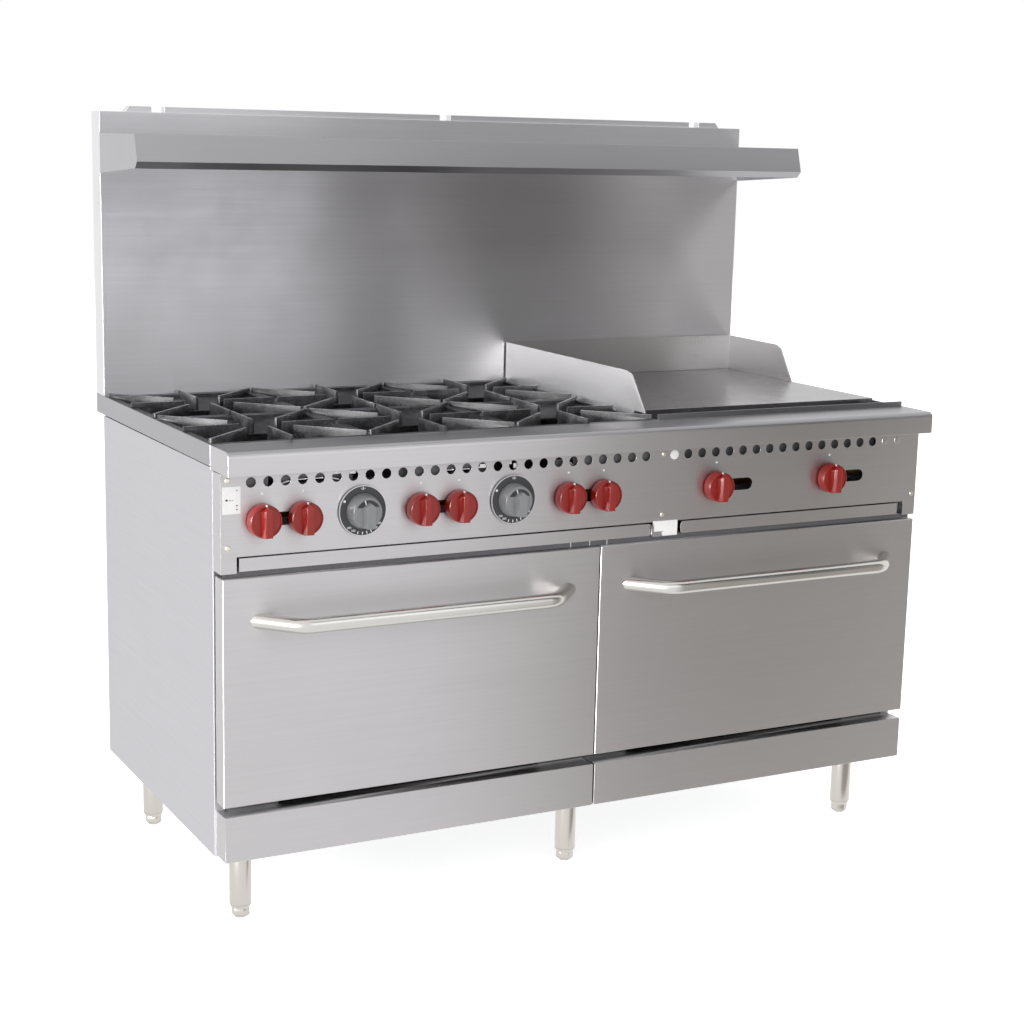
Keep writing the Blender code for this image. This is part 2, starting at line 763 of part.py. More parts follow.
def grease_trough():
    """The trough ahead of the plate, with its rim standing above the rail."""
    low = (GRIDDLE_LEFT, y(GRATE_FIELD_FRONT + GAP), GRATE_SEAT + GAP)
    high = (GRIDDLE_RIGHT, y(GRIDDLE_FRONT - 0.0005), 0.8840)
    trough = shell(low, high, "+Z")
    rim = block(low, (GRIDDLE_RIGHT, y(GRATE_FIELD_FRONT + GAP + SHEET), 0.910))
    finish(add(trough, rim), "grease_trough", "stainless")


def drip_trays():
    for side, (slot_left, slot_right) in TRAY_SLOTS.items():
        margin = 0.0045 if side == "left" else 0.0085
        left, right = slot_left + margin, slot_right - (0.002 if side == "left" else 0.0135)
        face = block((left, y(0.0030), 0.6815), (right, y(0.0050), 0.7050))
        tray = shell((left + 0.006, y(0.0040), 0.6825), (right - 0.006, y(0.675), 0.7030), "+Z", wall=0.0015)
        finish(add(tray, face), f"drip_tray_{side}", "stainless")


# Riser and shelf ----------------------------------------------------------------------------


def riser():
    """The tall backguard: a hollow flue, open below, with an outlet at the back and four caps."""
    low = (-HALF_WIDTH, y(RISER_FRONT), DECK_TOP + GAP)
    high = (HALF_WIDTH, y(BODY_DEPTH), RISER_TOP)
    body = shell(low, high, "-Z")
    outlet = block((-0.700, y(0.755), 1.390), (0.700, y(0.780), 1.450))
    cut(body, outlet)
    front, back, chamfer = y(0.716), y(0.738), 0.010
    caps = []
    for sign in SIDES.values():
        for near, far, sloped in ((0.0125, 0.626, False), (0.653, 0.7085, True)):
            left, right = sorted((sign * near, sign * far))
            cap = block((left, front, RISER_TOP - 0.001), (right, back, FLUE_TOP))
            if sloped:
                for point in cap.data.vertices:
                    if point.co.z > 0 and point.co.x * sign > 0:
                        point.co.x -= sign * chamfer
            caps.append(cap)
    add(body, joined(caps))
    finish(body, "riser", "stainless")


def high_shelf():
    """The shelf: a folded top with a raked lip and a gusset at each end."""
    lip_bottom, strip_bottom, gusset_back = 1.374, 1.361, 1.347
    back = RISER_FRONT - GAP
    outline = [
        (back, SHELF_TOP),
        (SHELF_FRONT, SHELF_TOP),
        (SHELF_LIP, lip_bottom),
        (SHELF_LIP + 0.013, strip_bottom),
        (back, gusset_back),
    ]
    hollow = [
        (back + 0.01, SHELF_TOP - SHEET),
        (SHELF_FRONT + SHEET, SHELF_TOP - SHEET),
        (SHELF_LIP + 0.0024, lip_bottom + 0.0005),
        (SHELF_LIP + 0.0156, strip_bottom),
        (SHELF_LIP + 0.0156, strip_bottom - 0.03),
        (back + 0.01, strip_bottom - 0.03),
    ]
    shelf = side_profile(outline, -HALF_WIDTH, HALF_WIDTH)
    cut(shelf, side_profile(hollow, -HALF_WIDTH + SHEET, HALF_WIDTH - SHEET))
    finish(shelf, "high_shelf", "stainless")


clear_scene()
PARTS = collection("gas_range")
CUTTERS = collection("cutters")
side_panels()
back_panel()
chassis()
kick_plates()
legs()
ovens()
oven_doors()
control_panel()
front_rail()
knobs()
thermostats()
gas_manifold()
cooktop_frame()
grates_and_burners()
griddle()
drip_trays()
riser()
high_shelf()
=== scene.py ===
"""Looks of a commercial gas range: sheet metal, castings, knobs, dials and trim around the CAD frame.

Each sub-assembly is a class that builds its own pieces and dresses them. Everything is in metres, in
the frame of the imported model: +X to the cook's right, the front towards -Y, +Z up.
"""

import json
import logging
import math
from dataclasses import dataclass, field
from enum import Enum

import bpy
from mathutils import Matrix, Vector

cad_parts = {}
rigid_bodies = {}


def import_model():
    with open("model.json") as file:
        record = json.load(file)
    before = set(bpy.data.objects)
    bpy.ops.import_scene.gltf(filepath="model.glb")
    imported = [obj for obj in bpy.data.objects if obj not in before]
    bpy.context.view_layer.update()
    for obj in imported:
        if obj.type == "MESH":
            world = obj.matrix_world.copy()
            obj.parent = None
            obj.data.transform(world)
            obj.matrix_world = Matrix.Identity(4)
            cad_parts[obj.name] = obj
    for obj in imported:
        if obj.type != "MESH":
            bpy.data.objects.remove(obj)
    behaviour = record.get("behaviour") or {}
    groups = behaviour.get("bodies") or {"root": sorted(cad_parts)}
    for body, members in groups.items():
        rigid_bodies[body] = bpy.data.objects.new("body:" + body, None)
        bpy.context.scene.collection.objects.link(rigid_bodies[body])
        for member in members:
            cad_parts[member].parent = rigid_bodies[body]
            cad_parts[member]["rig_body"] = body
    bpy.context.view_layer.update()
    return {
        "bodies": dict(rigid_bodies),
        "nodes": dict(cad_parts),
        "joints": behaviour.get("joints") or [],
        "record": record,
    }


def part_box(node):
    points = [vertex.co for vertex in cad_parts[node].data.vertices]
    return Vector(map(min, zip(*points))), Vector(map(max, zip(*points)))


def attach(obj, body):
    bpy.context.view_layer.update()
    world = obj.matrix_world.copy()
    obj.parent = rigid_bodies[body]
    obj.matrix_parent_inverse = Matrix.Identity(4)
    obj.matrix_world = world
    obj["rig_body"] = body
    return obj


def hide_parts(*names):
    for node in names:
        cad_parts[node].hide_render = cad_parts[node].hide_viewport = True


Piece = bpy.types.Object
Tree = bpy.types.NodeTree
Node = bpy.types.Node
Socket = bpy.types.NodeSocket

LOG = logging.getLogger("range")
ROOT = "range"
MM = 0.001
COLUMNS = ("left", "centre", "right")
ROWS = ("front", "rear")
SIDES = ("left", "right")


class Grain(Enum):
    """Which way the brushing runs on a sheet of steel."""

    ALONG_X = (1, 0, 0)
    ALONG_Y = (0, 1, 0)
    ALONG_Z = (0, 0, 1)


class Keep(Enum):
    """Which part of a solid a Boolean keeps."""

    UNION = "UNION"
    DIFFERENCE = "DIFFERENCE"


# Colour and nodes ---------------------------------------------------------------------------


def linear(hex_colour: str) -> tuple[float, float, float, float]:
    """Turns an sRGB hex colour to linear.

    Args:
        hex_colour: Six hex digits, with or without a leading #.

    Returns:
        Linear red, green, blue and an alpha of 1.
    """
    digits = hex_colour.lstrip("#")
    values = [int(digits[i : i + 2], 16) / 255 for i in (0, 2, 4)]
    return (*(v / 12.92 if v <= 0.04045 else ((v + 0.055) / 1.055) ** 2.4 for v in values), 1.0)


def add_node(tree: Tree, kind: str, inputs: dict | None = None, **settings) -> Node:
    """Adds a node, sets its properties, and fills or links its input sockets.

    Args:
        tree: The node tree to add to.
        kind: The node's type, such as "ShaderNodeTexNoise".
        inputs: Socket name or index to a value, or to an output socket to link from.
        **settings: Properties of the node itself.

    Returns:
        The new node.
    """
    node = tree.nodes.new(kind)
    for name, value in settings.items():
        setattr(node, name, value)
    for name, value in (inputs or {}).items():
        if isinstance(value, Socket):
            tree.links.new(value, node.inputs[name])
        else:
            node.inputs[name].default_value = value
    return node


def ramp(tree: Tree, factor: Socket, low: float, high: float) -> Socket:
    """Maps a factor of 0 to 1 onto a range.

    Args:
        tree: The node tree.
        factor: The socket to read.
        low: The value at 0.
        high: The value at 1.

    Returns:
        The socket that carries the mapped value.
    """
    mapped = add_node(tree, "ShaderNodeMapRange", {0: factor, 3: low, 4: high})
    return mapped.outputs[0]


@dataclass(frozen=True)
class Finish:
    """A surface finish, with the values that all of it shares.

    Attributes:
        name: The material's name.
        colour: sRGB hex of the base colour.
        roughness: Mean roughness.
        metallic: 1 for bare metal, 0 for anything else.
    """

    name: str
    colour: str
    roughness: float
    metallic: float = 0.0

    def material(self) -> bpy.types.Material:
        """Returns the finish's material, made on first use."""
        found = bpy.data.materials.get(self.name)
        if found:
            return found
        made = bpy.data.materials.new(self.name)
        made.use_nodes = True
        tree = made.node_tree
        shader = tree.nodes["Principled BSDF"]
        shader.inputs["Metallic"].default_value = self.metallic
        shader.inputs["Roughness"].default_value = self.roughness
        shader.inputs["Base Color"].default_value = linear(self.colour)
        self.dress(tree, shader)
        return made

    def dress(self, tree: Tree, shader: Node) -> None:
        """Adds the finish's pattern. A plain finish has none."""

    def tint(self, tree: Tree, shader: Node, share: Socket, other: tuple) -> None:
        """Colours the shader with the base colour and, where the share rises, another one.

        Args:
            tree: The material's node tree.
            shader: Its Principled shader.
            share: How much of the other colour shows, from 0 to 1.
            other: The other colour, linear.
        """
        tone = add_node(tree, "ShaderNodeMixRGB", {0: share, 1: linear(self.colour), 2: other})
        tree.links.new(tone.outputs[0], shader.inputs["Base Color"])

    def shade(self, strength: float) -> tuple[float, float, float, float]:
        """Returns the base colour, linear, made darker."""
        return (*(c * strength for c in linear(self.colour)[:3]), 1.0)

    def noise(self, tree: Tree, size: Vector, detail: float = 2.0) -> Socket:
        """Adds a noise pattern whose cells have a real size along each axis.

        Args:
            tree: The node tree.
            size: Cell size along X, Y and Z in metres.
            detail: Octaves of finer noise.

        Returns:
            The noise factor's socket.
        """
        place = add_node(tree, "ShaderNodeTexCoord").outputs["Object"]
        scaled = add_node(tree, "ShaderNodeMapping", {"Vector": place, "Scale": [1 / s for s in size]})
        inputs = {"Vector": scaled.outputs[0], "Scale": 1.0, "Detail": detail, "Roughness": 0.6}
        return add_node(tree, "ShaderNodeTexNoise", inputs).outputs[0]

    def bump(self, tree: Tree, height: Socket, depth: float, strength: float):
        """Adds a bump of a real depth and returns its normal socket."""
        inputs = {"Height": height, "Distance": depth, "Strength": strength}
        return add_node(tree, "ShaderNodeBump", inputs).outputs[0]


@dataclass(frozen=True)
class BrushedSteel(Finish):
    """Type 430 stainless sheet with a No. 4 brushed face: fine parallel scratches that smear reflections.

    The real scratches are 0.05 mm apart, too fine to show, so they are drawn a few millimetres apart.
    """

    grain: Grain = Grain.ALONG_X
    metallic: float = 1.0
    scratch: float = 2.2 * MM
    length: float = 240 * MM
    smudge: float = 160 * MM
    relief: float = 0.05
    spread: float = 0.0

    def dress(self, tree: Tree, shader: Node) -> None:
        """Adds the grain and the faint cloudiness of handled sheet.

        Args:
            tree: The material's node tree.
            shader: Its Principled shader.
        """
        shader.inputs["Anisotropic"].default_value = self.spread
        shader.inputs["Anisotropic Rotation"].default_value = 0.25
        along = Vector(self.grain.value)
        size = along * self.length + (Vector((1, 1, 1)) - along) * self.scratch
        grain = self.noise(tree, size, 3.0)
        cloud = self.noise(tree, Vector((self.smudge,) * 3), 4.0)
        inputs = {0: ramp(tree, grain, -0.05, 0.05), 1: ramp(tree, cloud, -0.07, 0.07)}
        mixed = add_node(tree, "ShaderNodeMath", inputs)
        rough = add_node(tree, "ShaderNodeMath", {0: mixed.outputs[0], 1: self.roughness}, use_clamp=True)
        tree.links.new(rough.outputs[0], shader.inputs["Roughness"])
        self.tint(tree, shader, grain, self.shade(0.90))
        tree.links.new(self.bump(tree, grain, 0.05 * MM, self.relief), shader.inputs["Normal"])


@dataclass(frozen=True)
class CastIron(Finish):
    """Sand-cast grey iron under black stove paint: a coarse, softly shining grain of about a millimetre."""

    metallic: float = 0.0
    grit: float = 2.2 * MM
    pale: str = "#87878A"

    def dress(self, tree: Tree, shader: Node) -> None:
        """Adds the sand grain and paler worn spots.

        Args:
            tree: The material's node tree.
            shader: Its Principled shader.
        """
        grit = self.noise(tree, Vector((self.grit,) * 3), 3.0)
        patch = self.noise(tree, Vector((26 * MM,) * 3), 4.0)
        speck = add_node(tree, "ShaderNodeMath", {0: grit, 1: patch}, operation="MULTIPLY").outputs[0]
        share = add_node(tree, "ShaderNodeMapRange", {0: speck, 1: 0.22, 2: 0.42, 3: 0.0, 4: 1.0}).outputs[0]
        self.tint(tree, shader, share, linear(self.pale))
        tree.links.new(ramp(tree, patch, self.roughness - 0.1, self.roughness + 0.1), shader.inputs["Roughness"])
        tree.links.new(self.bump(tree, grit, 0.6 * MM, 0.5), shader.inputs["Normal"])


@dataclass(frozen=True)
class Moulded(Finish):
    """Moulded phenolic plastic: a smooth skin with a faint orange peel of a couple of millimetres."""

    peel: float = 3 * MM
    coat: float = 0.0

    def dress(self, tree: Tree, shader: Node) -> None:
        """Adds the orange peel, a slight drift of the colour, and the gloss of the skin.

        Args:
            tree: The material's node tree.
            shader: Its Principled shader.
        """
        shader.inputs["Coat Weight"].default_value = self.coat
        peel = self.noise(tree, Vector((self.peel,) * 3), 1.0)
        drift = self.noise(tree, Vector((18 * MM,) * 3), 2.0)
        self.tint(tree, shader, drift, self.shade(0.82))
        tree.links.new(self.bump(tree, peel, 0.05 * MM, 0.25), shader.inputs["Normal"])


@dataclass(frozen=True)
class Enamel(Finish):
    """Fired porcelain enamel: glassy, speckled with pinholes, a little wavy."""

    fleck: str = "#8F9299"

    def dress(self, tree: Tree, shader: Node) -> None:
        """Adds pale flecks and the waviness of the glaze.

        Args:
            tree: The material's node tree.
            shader: Its Principled shader.
        """
        fleck = self.noise(tree, Vector((2.5 * MM,) * 3), 1.0)
        share = add_node(tree, "ShaderNodeMapRange", {0: fleck, 1: 0.68, 2: 0.74, 3: 0.0, 4: 1.0}).outputs[0]
        self.tint(tree, shader, share, linear(self.fleck))
        wave = self.noise(tree, Vector((30 * MM,) * 3), 2.0)
        tree.links.new(self.bump(tree, wave, 0.5 * MM, 0.2), shader.inputs["Normal"])


@dataclass(frozen=True)
class Galvanised(Finish):
    """Hot-dip galvanised sheet: flat zinc crystals a centimetre across, each a shade apart."""

    metallic: float = 1.0
    spangle: float = 11 * MM

    def dress(self, tree: Tree, shader: Node) -> None:
        """Adds the spangle.

        Args:
            tree: The material's node tree.
            shader: Its Principled shader.
        """
        place = add_node(tree, "ShaderNodeTexCoord").outputs["Object"]
        cells = add_node(tree, "ShaderNodeTexVoronoi", {"Vector": place, "Scale": 1 / self.spangle})
        shade = add_node(tree, "ShaderNodeSeparateColor", {0: cells.outputs["Color"]}).outputs[0]
        self.tint(tree, shader, shade, self.shade(0.80))
        rough = ramp(tree, shade, self.roughness - 0.08, self.roughness + 0.08)
        tree.links.new(rough, shader.inputs["Roughness"])


@dataclass(frozen=True)
class Finishes:
    """Every finish on the range. The guard beside the grates has a paler, less metallic copy of its steel on its
    outer left face: painted light, standing in for the light that falls on that side from the left.
    """

    front: BrushedSteel = BrushedSteel("brushed_stainless_front", "#CFCDCE", 0.40, spread=0.75)
    rail: BrushedSteel = BrushedSteel("brushed_stainless_rail", "#CAC8C9", 0.36, spread=0.6)
    side: BrushedSteel = BrushedSteel("brushed_stainless_side", "#CCCBCF", 0.45, grain=Grain.ALONG_Y, spread=0.5)
    riser: BrushedSteel = BrushedSteel("brushed_stainless_riser", "#F1F0F3", 0.355, spread=1.0)
    shelf: BrushedSteel = BrushedSteel("brushed_stainless_shelf", "#B5B4B7", 0.33, spread=0.55)
    guard: BrushedSteel = BrushedSteel("brushed_stainless_guard", "#DAD8D8", 0.30, grain=Grain.ALONG_Y, spread=0.5)
    # Paler, less metallic copy of the guard's steel for the guard's outer left face: a painted highlight for the
    # light from the left.
    guard_painted_lit: BrushedSteel = BrushedSteel("stainless_guard_painted_lit", "#E4E3E3", 0.36, 0.86, grain=Grain.ALONG_Y)
    deck: BrushedSteel = BrushedSteel("brushed_stainless_deck", "#AEADB1", 0.42, grain=Grain.ALONG_Y, spread=0.5)
    ledge: BrushedSteel = BrushedSteel("brushed_stainless_ledge", "#A8A7AA", 0.34, spread=0.4)
    griddle: BrushedSteel = BrushedSteel("ground_steel_griddle", "#9E9C9D", 0.26, scratch=1.6 * MM, relief=0.2)
    tube: BrushedSteel = BrushedSteel(
        "satin_tube", "#DAD8D3", 0.20, scratch=1.2 * MM, length=60 * MM, relief=0.06
    )
    leg: BrushedSteel = BrushedSteel(
        "satin_leg", "#D6D2CB", 0.22, grain=Grain.ALONG_Z, scratch=1.2 * MM, length=60 * MM
    )
    wire: BrushedSteel = BrushedSteel("chromed_wire", "#D5D5D7", 0.14, scratch=1 * MM, length=20 * MM, relief=0.03)
    screw: BrushedSteel = BrushedSteel("plated_screw", "#EFE9D8", 0.26, scratch=0.8 * MM, length=4 * MM)
    zinc: Galvanised = Galvanised("galvanised_sheet", "#A9AAAC", 0.45)
    iron: CastIron = CastIron("cast_iron_painted", "#151517", 0.40, pale="#515154")
    # Bare-iron finish for the rib tops: partly worn paint, partly a painted highlight for their bright top edges.
    worn: CastIron = CastIron("cast_iron_worn_and_highlight", "#858489", 0.36, metallic=1.0, pale="#CFCED2")
    burner: CastIron = CastIron("cast_iron_burner", "#222223", 0.6, grit=1.6 * MM, pale="#3E3D3C")
    brass: BrushedSteel = BrushedSteel("brass_valves", "#B99B5A", 0.30, scratch=1.5 * MM, length=30 * MM)
    enamel: Enamel = Enamel("porcelain_enamel", "#2B2D33", 0.22)
    red: Moulded = Moulded("red_phenolic", "#981B12", 0.28)
    grey: Moulded = Moulded("grey_phenolic", "#8A8B8E", 0.32)
    bezel: Moulded = Moulded("black_phenolic", "#37383B", 0.42)
    print: Moulded = Moulded("white_print", "#FFFFFF", 0.5, peel=6 * MM)
    label: Moulded = Moulded("label_film", "#FFFFFF", 0.4, peel=8 * MM)
    ink: Moulded = Moulded("label_ink", "#303033", 0.5)
    block: Moulded = Moulded("white_nylon", "#FFFEFC", 0.45)
    baffle: Moulded = Moulded("primed_baffle", "#6A696C", 0.6, peel=5 * MM)
    copper: BrushedSteel = BrushedSteel("copper_tube", "#A0532F", 0.35, scratch=1 * MM, length=12 * MM)


FINISH = Finishes()


# Mesh work ----------------------------------------------------------------------------------


def deselect() -> None:
    """Leaves nothing selected, so that an operator works only on what follows."""
    if bpy.context.mode != "OBJECT":
        bpy.ops.object.mode_set(mode="OBJECT")
    bpy.ops.object.select_all(action="DESELECT")


def pick(*objects: Piece) -> Piece:
    """Selects these objects alone, makes the first one active and returns it."""
    deselect()
    for obj in objects:
        obj.select_set(True)
    bpy.context.view_layer.objects.active = objects[0]
    return objects[0]


def settle(obj: Piece, name: str) -> Piece:
    """Names a piece and moves its place into its mesh, so that its object sits at the origin.

    Args:
        obj: The piece.
        name: Its name.

    Returns:
        The same object.
    """
    pick(obj)
    bpy.ops.object.transform_apply(location=True, rotation=True, scale=True)
    obj.name = name
    obj.data.name = name
    return obj


def cube(name: str, low: Vector, high: Vector) -> Piece:
    """Adds a box between two corners, with its place in its mesh."""
    deselect()
    low, high = Vector(low), Vector(high)
    bpy.ops.mesh.primitive_cube_add(size=1, location=(low + high) / 2)
    bpy.context.object.scale = high - low
    return settle(bpy.context.object, name)


def tapered(name: str, start: Vector, end: Vector, radius: float, last: float, sides: int = 48) -> Piece:
    """Adds a closed cylinder or cone frustum between two points.

    Args:
        name: The piece's name.
        start: Centre of the first end.
        end: Centre of the other end.
        radius: Radius at the start.
        last: Radius at the end.
        sides: Number of sides.

    Returns:
        The new object, with its place in its mesh.
    """
    deselect()
    start, end = Vector(start), Vector(end)
    axis = end - start
    bpy.ops.mesh.primitive_cone_add(vertices=sides, radius1=radius, radius2=last, depth=axis.length)
    obj = bpy.context.object
    obj.rotation_euler = axis.to_track_quat("Z", "Y").to_euler()
    obj.location = (start + end) / 2
    return settle(obj, name)


def disc(name: str, start: Vector, end: Vector, radius: float, sides: int = 48) -> Piece:
    """Adds a closed cylinder between two points."""
    return tapered(name, start, end, radius, radius, sides)


def apply_modifier(obj: Piece, kind: str, **settings) -> Piece:
    """Adds a modifier with these settings and applies it.

    Args:
        obj: The piece.
        kind: The modifier's type.
        **settings: Its properties.

    Returns:
        The same object.
    """
    pick(obj)
    modifier = obj.modifiers.new(kind.lower(), kind)
    for name, value in settings.items():
        setattr(modifier, name, value)
    bpy.ops.object.modifier_apply(modifier=modifier.name)
    return obj


def bevel(obj: Piece, width: float, segments: int = 2, angle: float = 40) -> Piece:
    """Rounds every edge that is sharper than an angle in degrees."""
    return apply_modifier(
        obj, "BEVEL", width=width, segments=segments, limit_method="ANGLE", angle_limit=math.radians(angle)
    )


def combine(obj: Piece, other: Piece, keep: Keep) -> Piece:
    """Applies a Boolean with another solid, and removes that solid."""
    apply_modifier(obj, "BOOLEAN", operation=keep.value, object=other)
    bpy.data.objects.remove(other)
    return obj


def join(name: str, pieces: list[Piece]) -> Piece:
    """Joins several meshes into one object of this name."""
    pick(*pieces)
    if len(pieces) > 1:
        bpy.ops.object.join()
    made = bpy.context.object
    made.name = name
    made.data.name = name
    return made


def smooth(obj: Piece, angle: float = 35) -> Piece:
    """Shades a piece smooth, apart from edges sharper than an angle in degrees."""
    pick(obj)
    bpy.ops.object.shade_smooth_by_angle(angle=math.radians(angle))
    return obj


def shift(obj: Piece, offset: Vector) -> None:
    """Moves a piece's mesh by an offset, and leaves its object at the origin."""
    obj.data.transform(Matrix.Translation(offset))


def turn(obj: Piece, angle: float, axis: str) -> None:
    """Turns a piece's mesh about an axis through the origin, by an angle in radians."""
    obj.data.transform(Matrix.Rotation(angle, 4, axis))


def copy_moved(obj: Piece, name: str, offset: Vector) -> Piece:
    """Copies a piece, with a mesh of its own, moved by an offset."""
    made = obj.copy()
    made.data = obj.data.copy()
    shift(made, offset)
    made.name = name
    made.data.name = name
    bpy.context.collection.objects.link(made)
    return made


def tube(name: str, points: list[tuple], radius: float, resolution: int = 8) -> Piece:
    """Makes a closed round tube along points, each with an optional scale as a fourth value.

    Args:
        name: The piece's name.
        points: (x, y, z) or (x, y, z, scale) of each point.
        radius: The tube's radius where the scale is 1.
        resolution: Bevel resolution of the curve.

    Returns:
        The tube as a mesh, at the origin.
    """
    deselect()
    curve = bpy.data.curves.new(name, "CURVE")
    curve.dimensions = "3D"
    curve.bevel_depth = radius
    curve.bevel_resolution = resolution
    curve.use_fill_caps = True
    spline = curve.splines.new("POLY")
    spline.points.add(len(points) - 1)
    for target, point in zip(spline.points, points):
        target.co = (*point[:3], 1)
        target.radius = point[3] if len(point) > 3 else 1
    obj = bpy.data.objects.new(name, curve)
    bpy.context.collection.objects.link(obj)
    pick(obj)
    bpy.ops.object.convert(target="MESH")
    obj = bpy.context.object
    bpy.ops.object.mode_set(mode="EDIT")
    bpy.ops.mesh.select_all(action="SELECT")
    bpy.ops.mesh.remove_doubles(threshold=0.000005)
    bpy.ops.mesh.normals_make_consistent(inside=False)
    bpy.ops.object.mode_set(mode="OBJECT")
    return settle(obj, name)


def dress(obj: Piece, finish: Finish, slot: str, body: str = ROOT, *nodes: str) -> Piece:
    """Gives a piece its finish and its body, and hides the nodes that it stands for.

    Args:
        obj: The piece.
        finish: Its finish.
        slot: Not used.
        body: The CAD body that it rides on.
        *nodes: CAD nodes that it replaces.

    Returns:
        The same object.
    """
    obj.data.materials.clear()
    obj.data.materials.append(finish.material())
    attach(obj, body)
    if nodes:
        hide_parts(*nodes)
    LOG.info("%s: %d faces, %s, on %s", obj.name, len(obj.data.polygons), finish.name, body)
    return obj


@dataclass
class Assembly:
    """A sub-assembly, with the frame it is built around."""

    frame: dict

    def node(self, name: str) -> Piece:
        """Returns a CAD node's object."""
        return self.frame["nodes"][name]

    def body_of(self, name: str) -> str:
        """Returns the body that a CAD node rides on."""
        return self.node(name)["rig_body"]

    def folded(self, node: str, name: str, finish: Finish, slot: str, edge: float = 0.8 * MM) -> Piece:
        """Makes a finer copy of a sheet-metal node: its triangles are merged and its edges rounded.

        Args:
            node: The CAD node that the copy replaces.
            name: The piece's name.
            finish: Its finish.
            slot: The record's material slot.
            edge: Radius of the folded edges.

        Returns:
            The new piece.
        """
        return self.sheet(self.merged(node, name), node, finish, slot, edge)

    def merged(self, node: str, name: str) -> Piece:
        """Copies a CAD node and merges its triangles back into flat faces.

        Args:
            node: The CAD node.
            name: The copy's name.

        Returns:
            The copy, not yet dressed.
        """
        obj = bpy.data.objects.new(name, self.node(node).data.copy())
        bpy.context.collection.objects.link(obj)
        pick(obj)
        bpy.ops.object.mode_set(mode="EDIT")
        bpy.ops.mesh.select_all(action="SELECT")
        bpy.ops.mesh.remove_doubles(threshold=0.00002)
        bpy.ops.mesh.dissolve_limited(angle_limit=math.radians(1))
        bpy.ops.object.mode_set(mode="OBJECT")
        obj.data.name = name
        return obj

    def sheet(self, obj: Piece, node: str, finish: Finish, slot: str, edge: float) -> Piece:
        """Rounds the edges of a merged copy, shades it as flat sheet and dresses it.

        Args:
            obj: The merged copy.
            node: The CAD node that it replaces.
            finish: Its finish.
            slot: The record's material slot.
            edge: Radius of the folded edges.

        Returns:
            The same object.
        """
        bevel(obj, edge)
        smooth(obj)
        apply_modifier(obj, "WEIGHTED_NORMAL", keep_sharp=True, weight=100)
        return dress(obj, finish, slot, self.body_of(node), node)

    def repaint(self, obj: Piece, finish: Finish, facing: Vector, beyond: float = 0.9, limit: float = 9.0):
        """Gives the faces that look one way a second finish.

        Args:
            obj: The piece.
            finish: The second finish.
            facing: The way that the faces look.
            beyond: The least cosine between a face's normal and that way.
            limit: The greatest X of a face's middle.
        """
        obj.data.materials.append(finish.material())
        for face in obj.data.polygons:
            if face.normal.dot(facing) > beyond and face.center.x < limit:
                face.material_index = len(obj.data.materials) - 1

    def finish_node(self, node: str, finish: Finish) -> None:
        """Gives a CAD node that stays visible its finish."""
        obj = self.node(node)
        obj.data.materials.clear()
        obj.data.materials.append(finish.material())
        LOG.info("%s keeps its CAD shape, %s", node, finish.name)


# Sub-assemblies -----------------------------------------------------------------------------


@dataclass
class Body(Assembly):
    """Side panels, back, chassis, kick plates and legs."""

    edge: float = 1.2 * MM
    leg_nodes: tuple = tuple(f"leg_{row}_{place}" for row in ROWS for place in ("left", "middle", "right"))

    def build(self) -> None:
        """Builds and dresses the body."""
        for side in SIDES:
            self.folded(f"side_panel_{side}", f"side_sheet_{side}", FINISH.side, "side_steel", self.edge)
            self.folded(f"kick_plate_{side}", f"kick_sheet_{side}", FINISH.front, "stainless", 1.2 * MM)
        self.folded("back_panel", "back_sheet", FINISH.zinc, "galvanised")
        self.finish_node("chassis", FINISH.zinc)
        for node in self.leg_nodes:
            self.leg(node)

    def leg(self, node: str) -> None:
        """Builds one leg: a flange, a plain tube, and the adjustable foot with its rounded end.

        Args:
            node: The CAD leg that it replaces.
        """
        low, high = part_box(node)
        x, y = (low.x + high.x) / 2, (low.y + high.y) / 2
        top, tube_radius, corner = high.z, 20.7 * MM, 17.4 * MM
        seat, sleeve_end, hex_top, nose_top = top - 4 * MM, 26.5 * MM, 18.6 * MM, 5.5 * MM
        flange = bevel(disc("flange", (x, y, seat), (x, y, top), 30 * MM), 0.6 * MM)
        sleeve = disc("sleeve", (x, y, sleeve_end), (x, y, seat), tube_radius, 64)
        taper = tapered("taper", (x, y, hex_top), (x, y, sleeve_end), 17 * MM, tube_radius, 64)
        foot = disc("foot", (x, y, nose_top), (x, y, hex_top), corner, 6)
        nose = tapered("nose", (x, y, 0), (x, y, nose_top), 12.5 * MM, corner, 6)
        for part in (sleeve, foot):
            bevel(part, 0.7 * MM)
        obj = smooth(join(f"{node}_tube", [flange, sleeve, taper, foot, nose]))
        dress(obj, FINISH.leg, "bright_steel", ROOT, node)


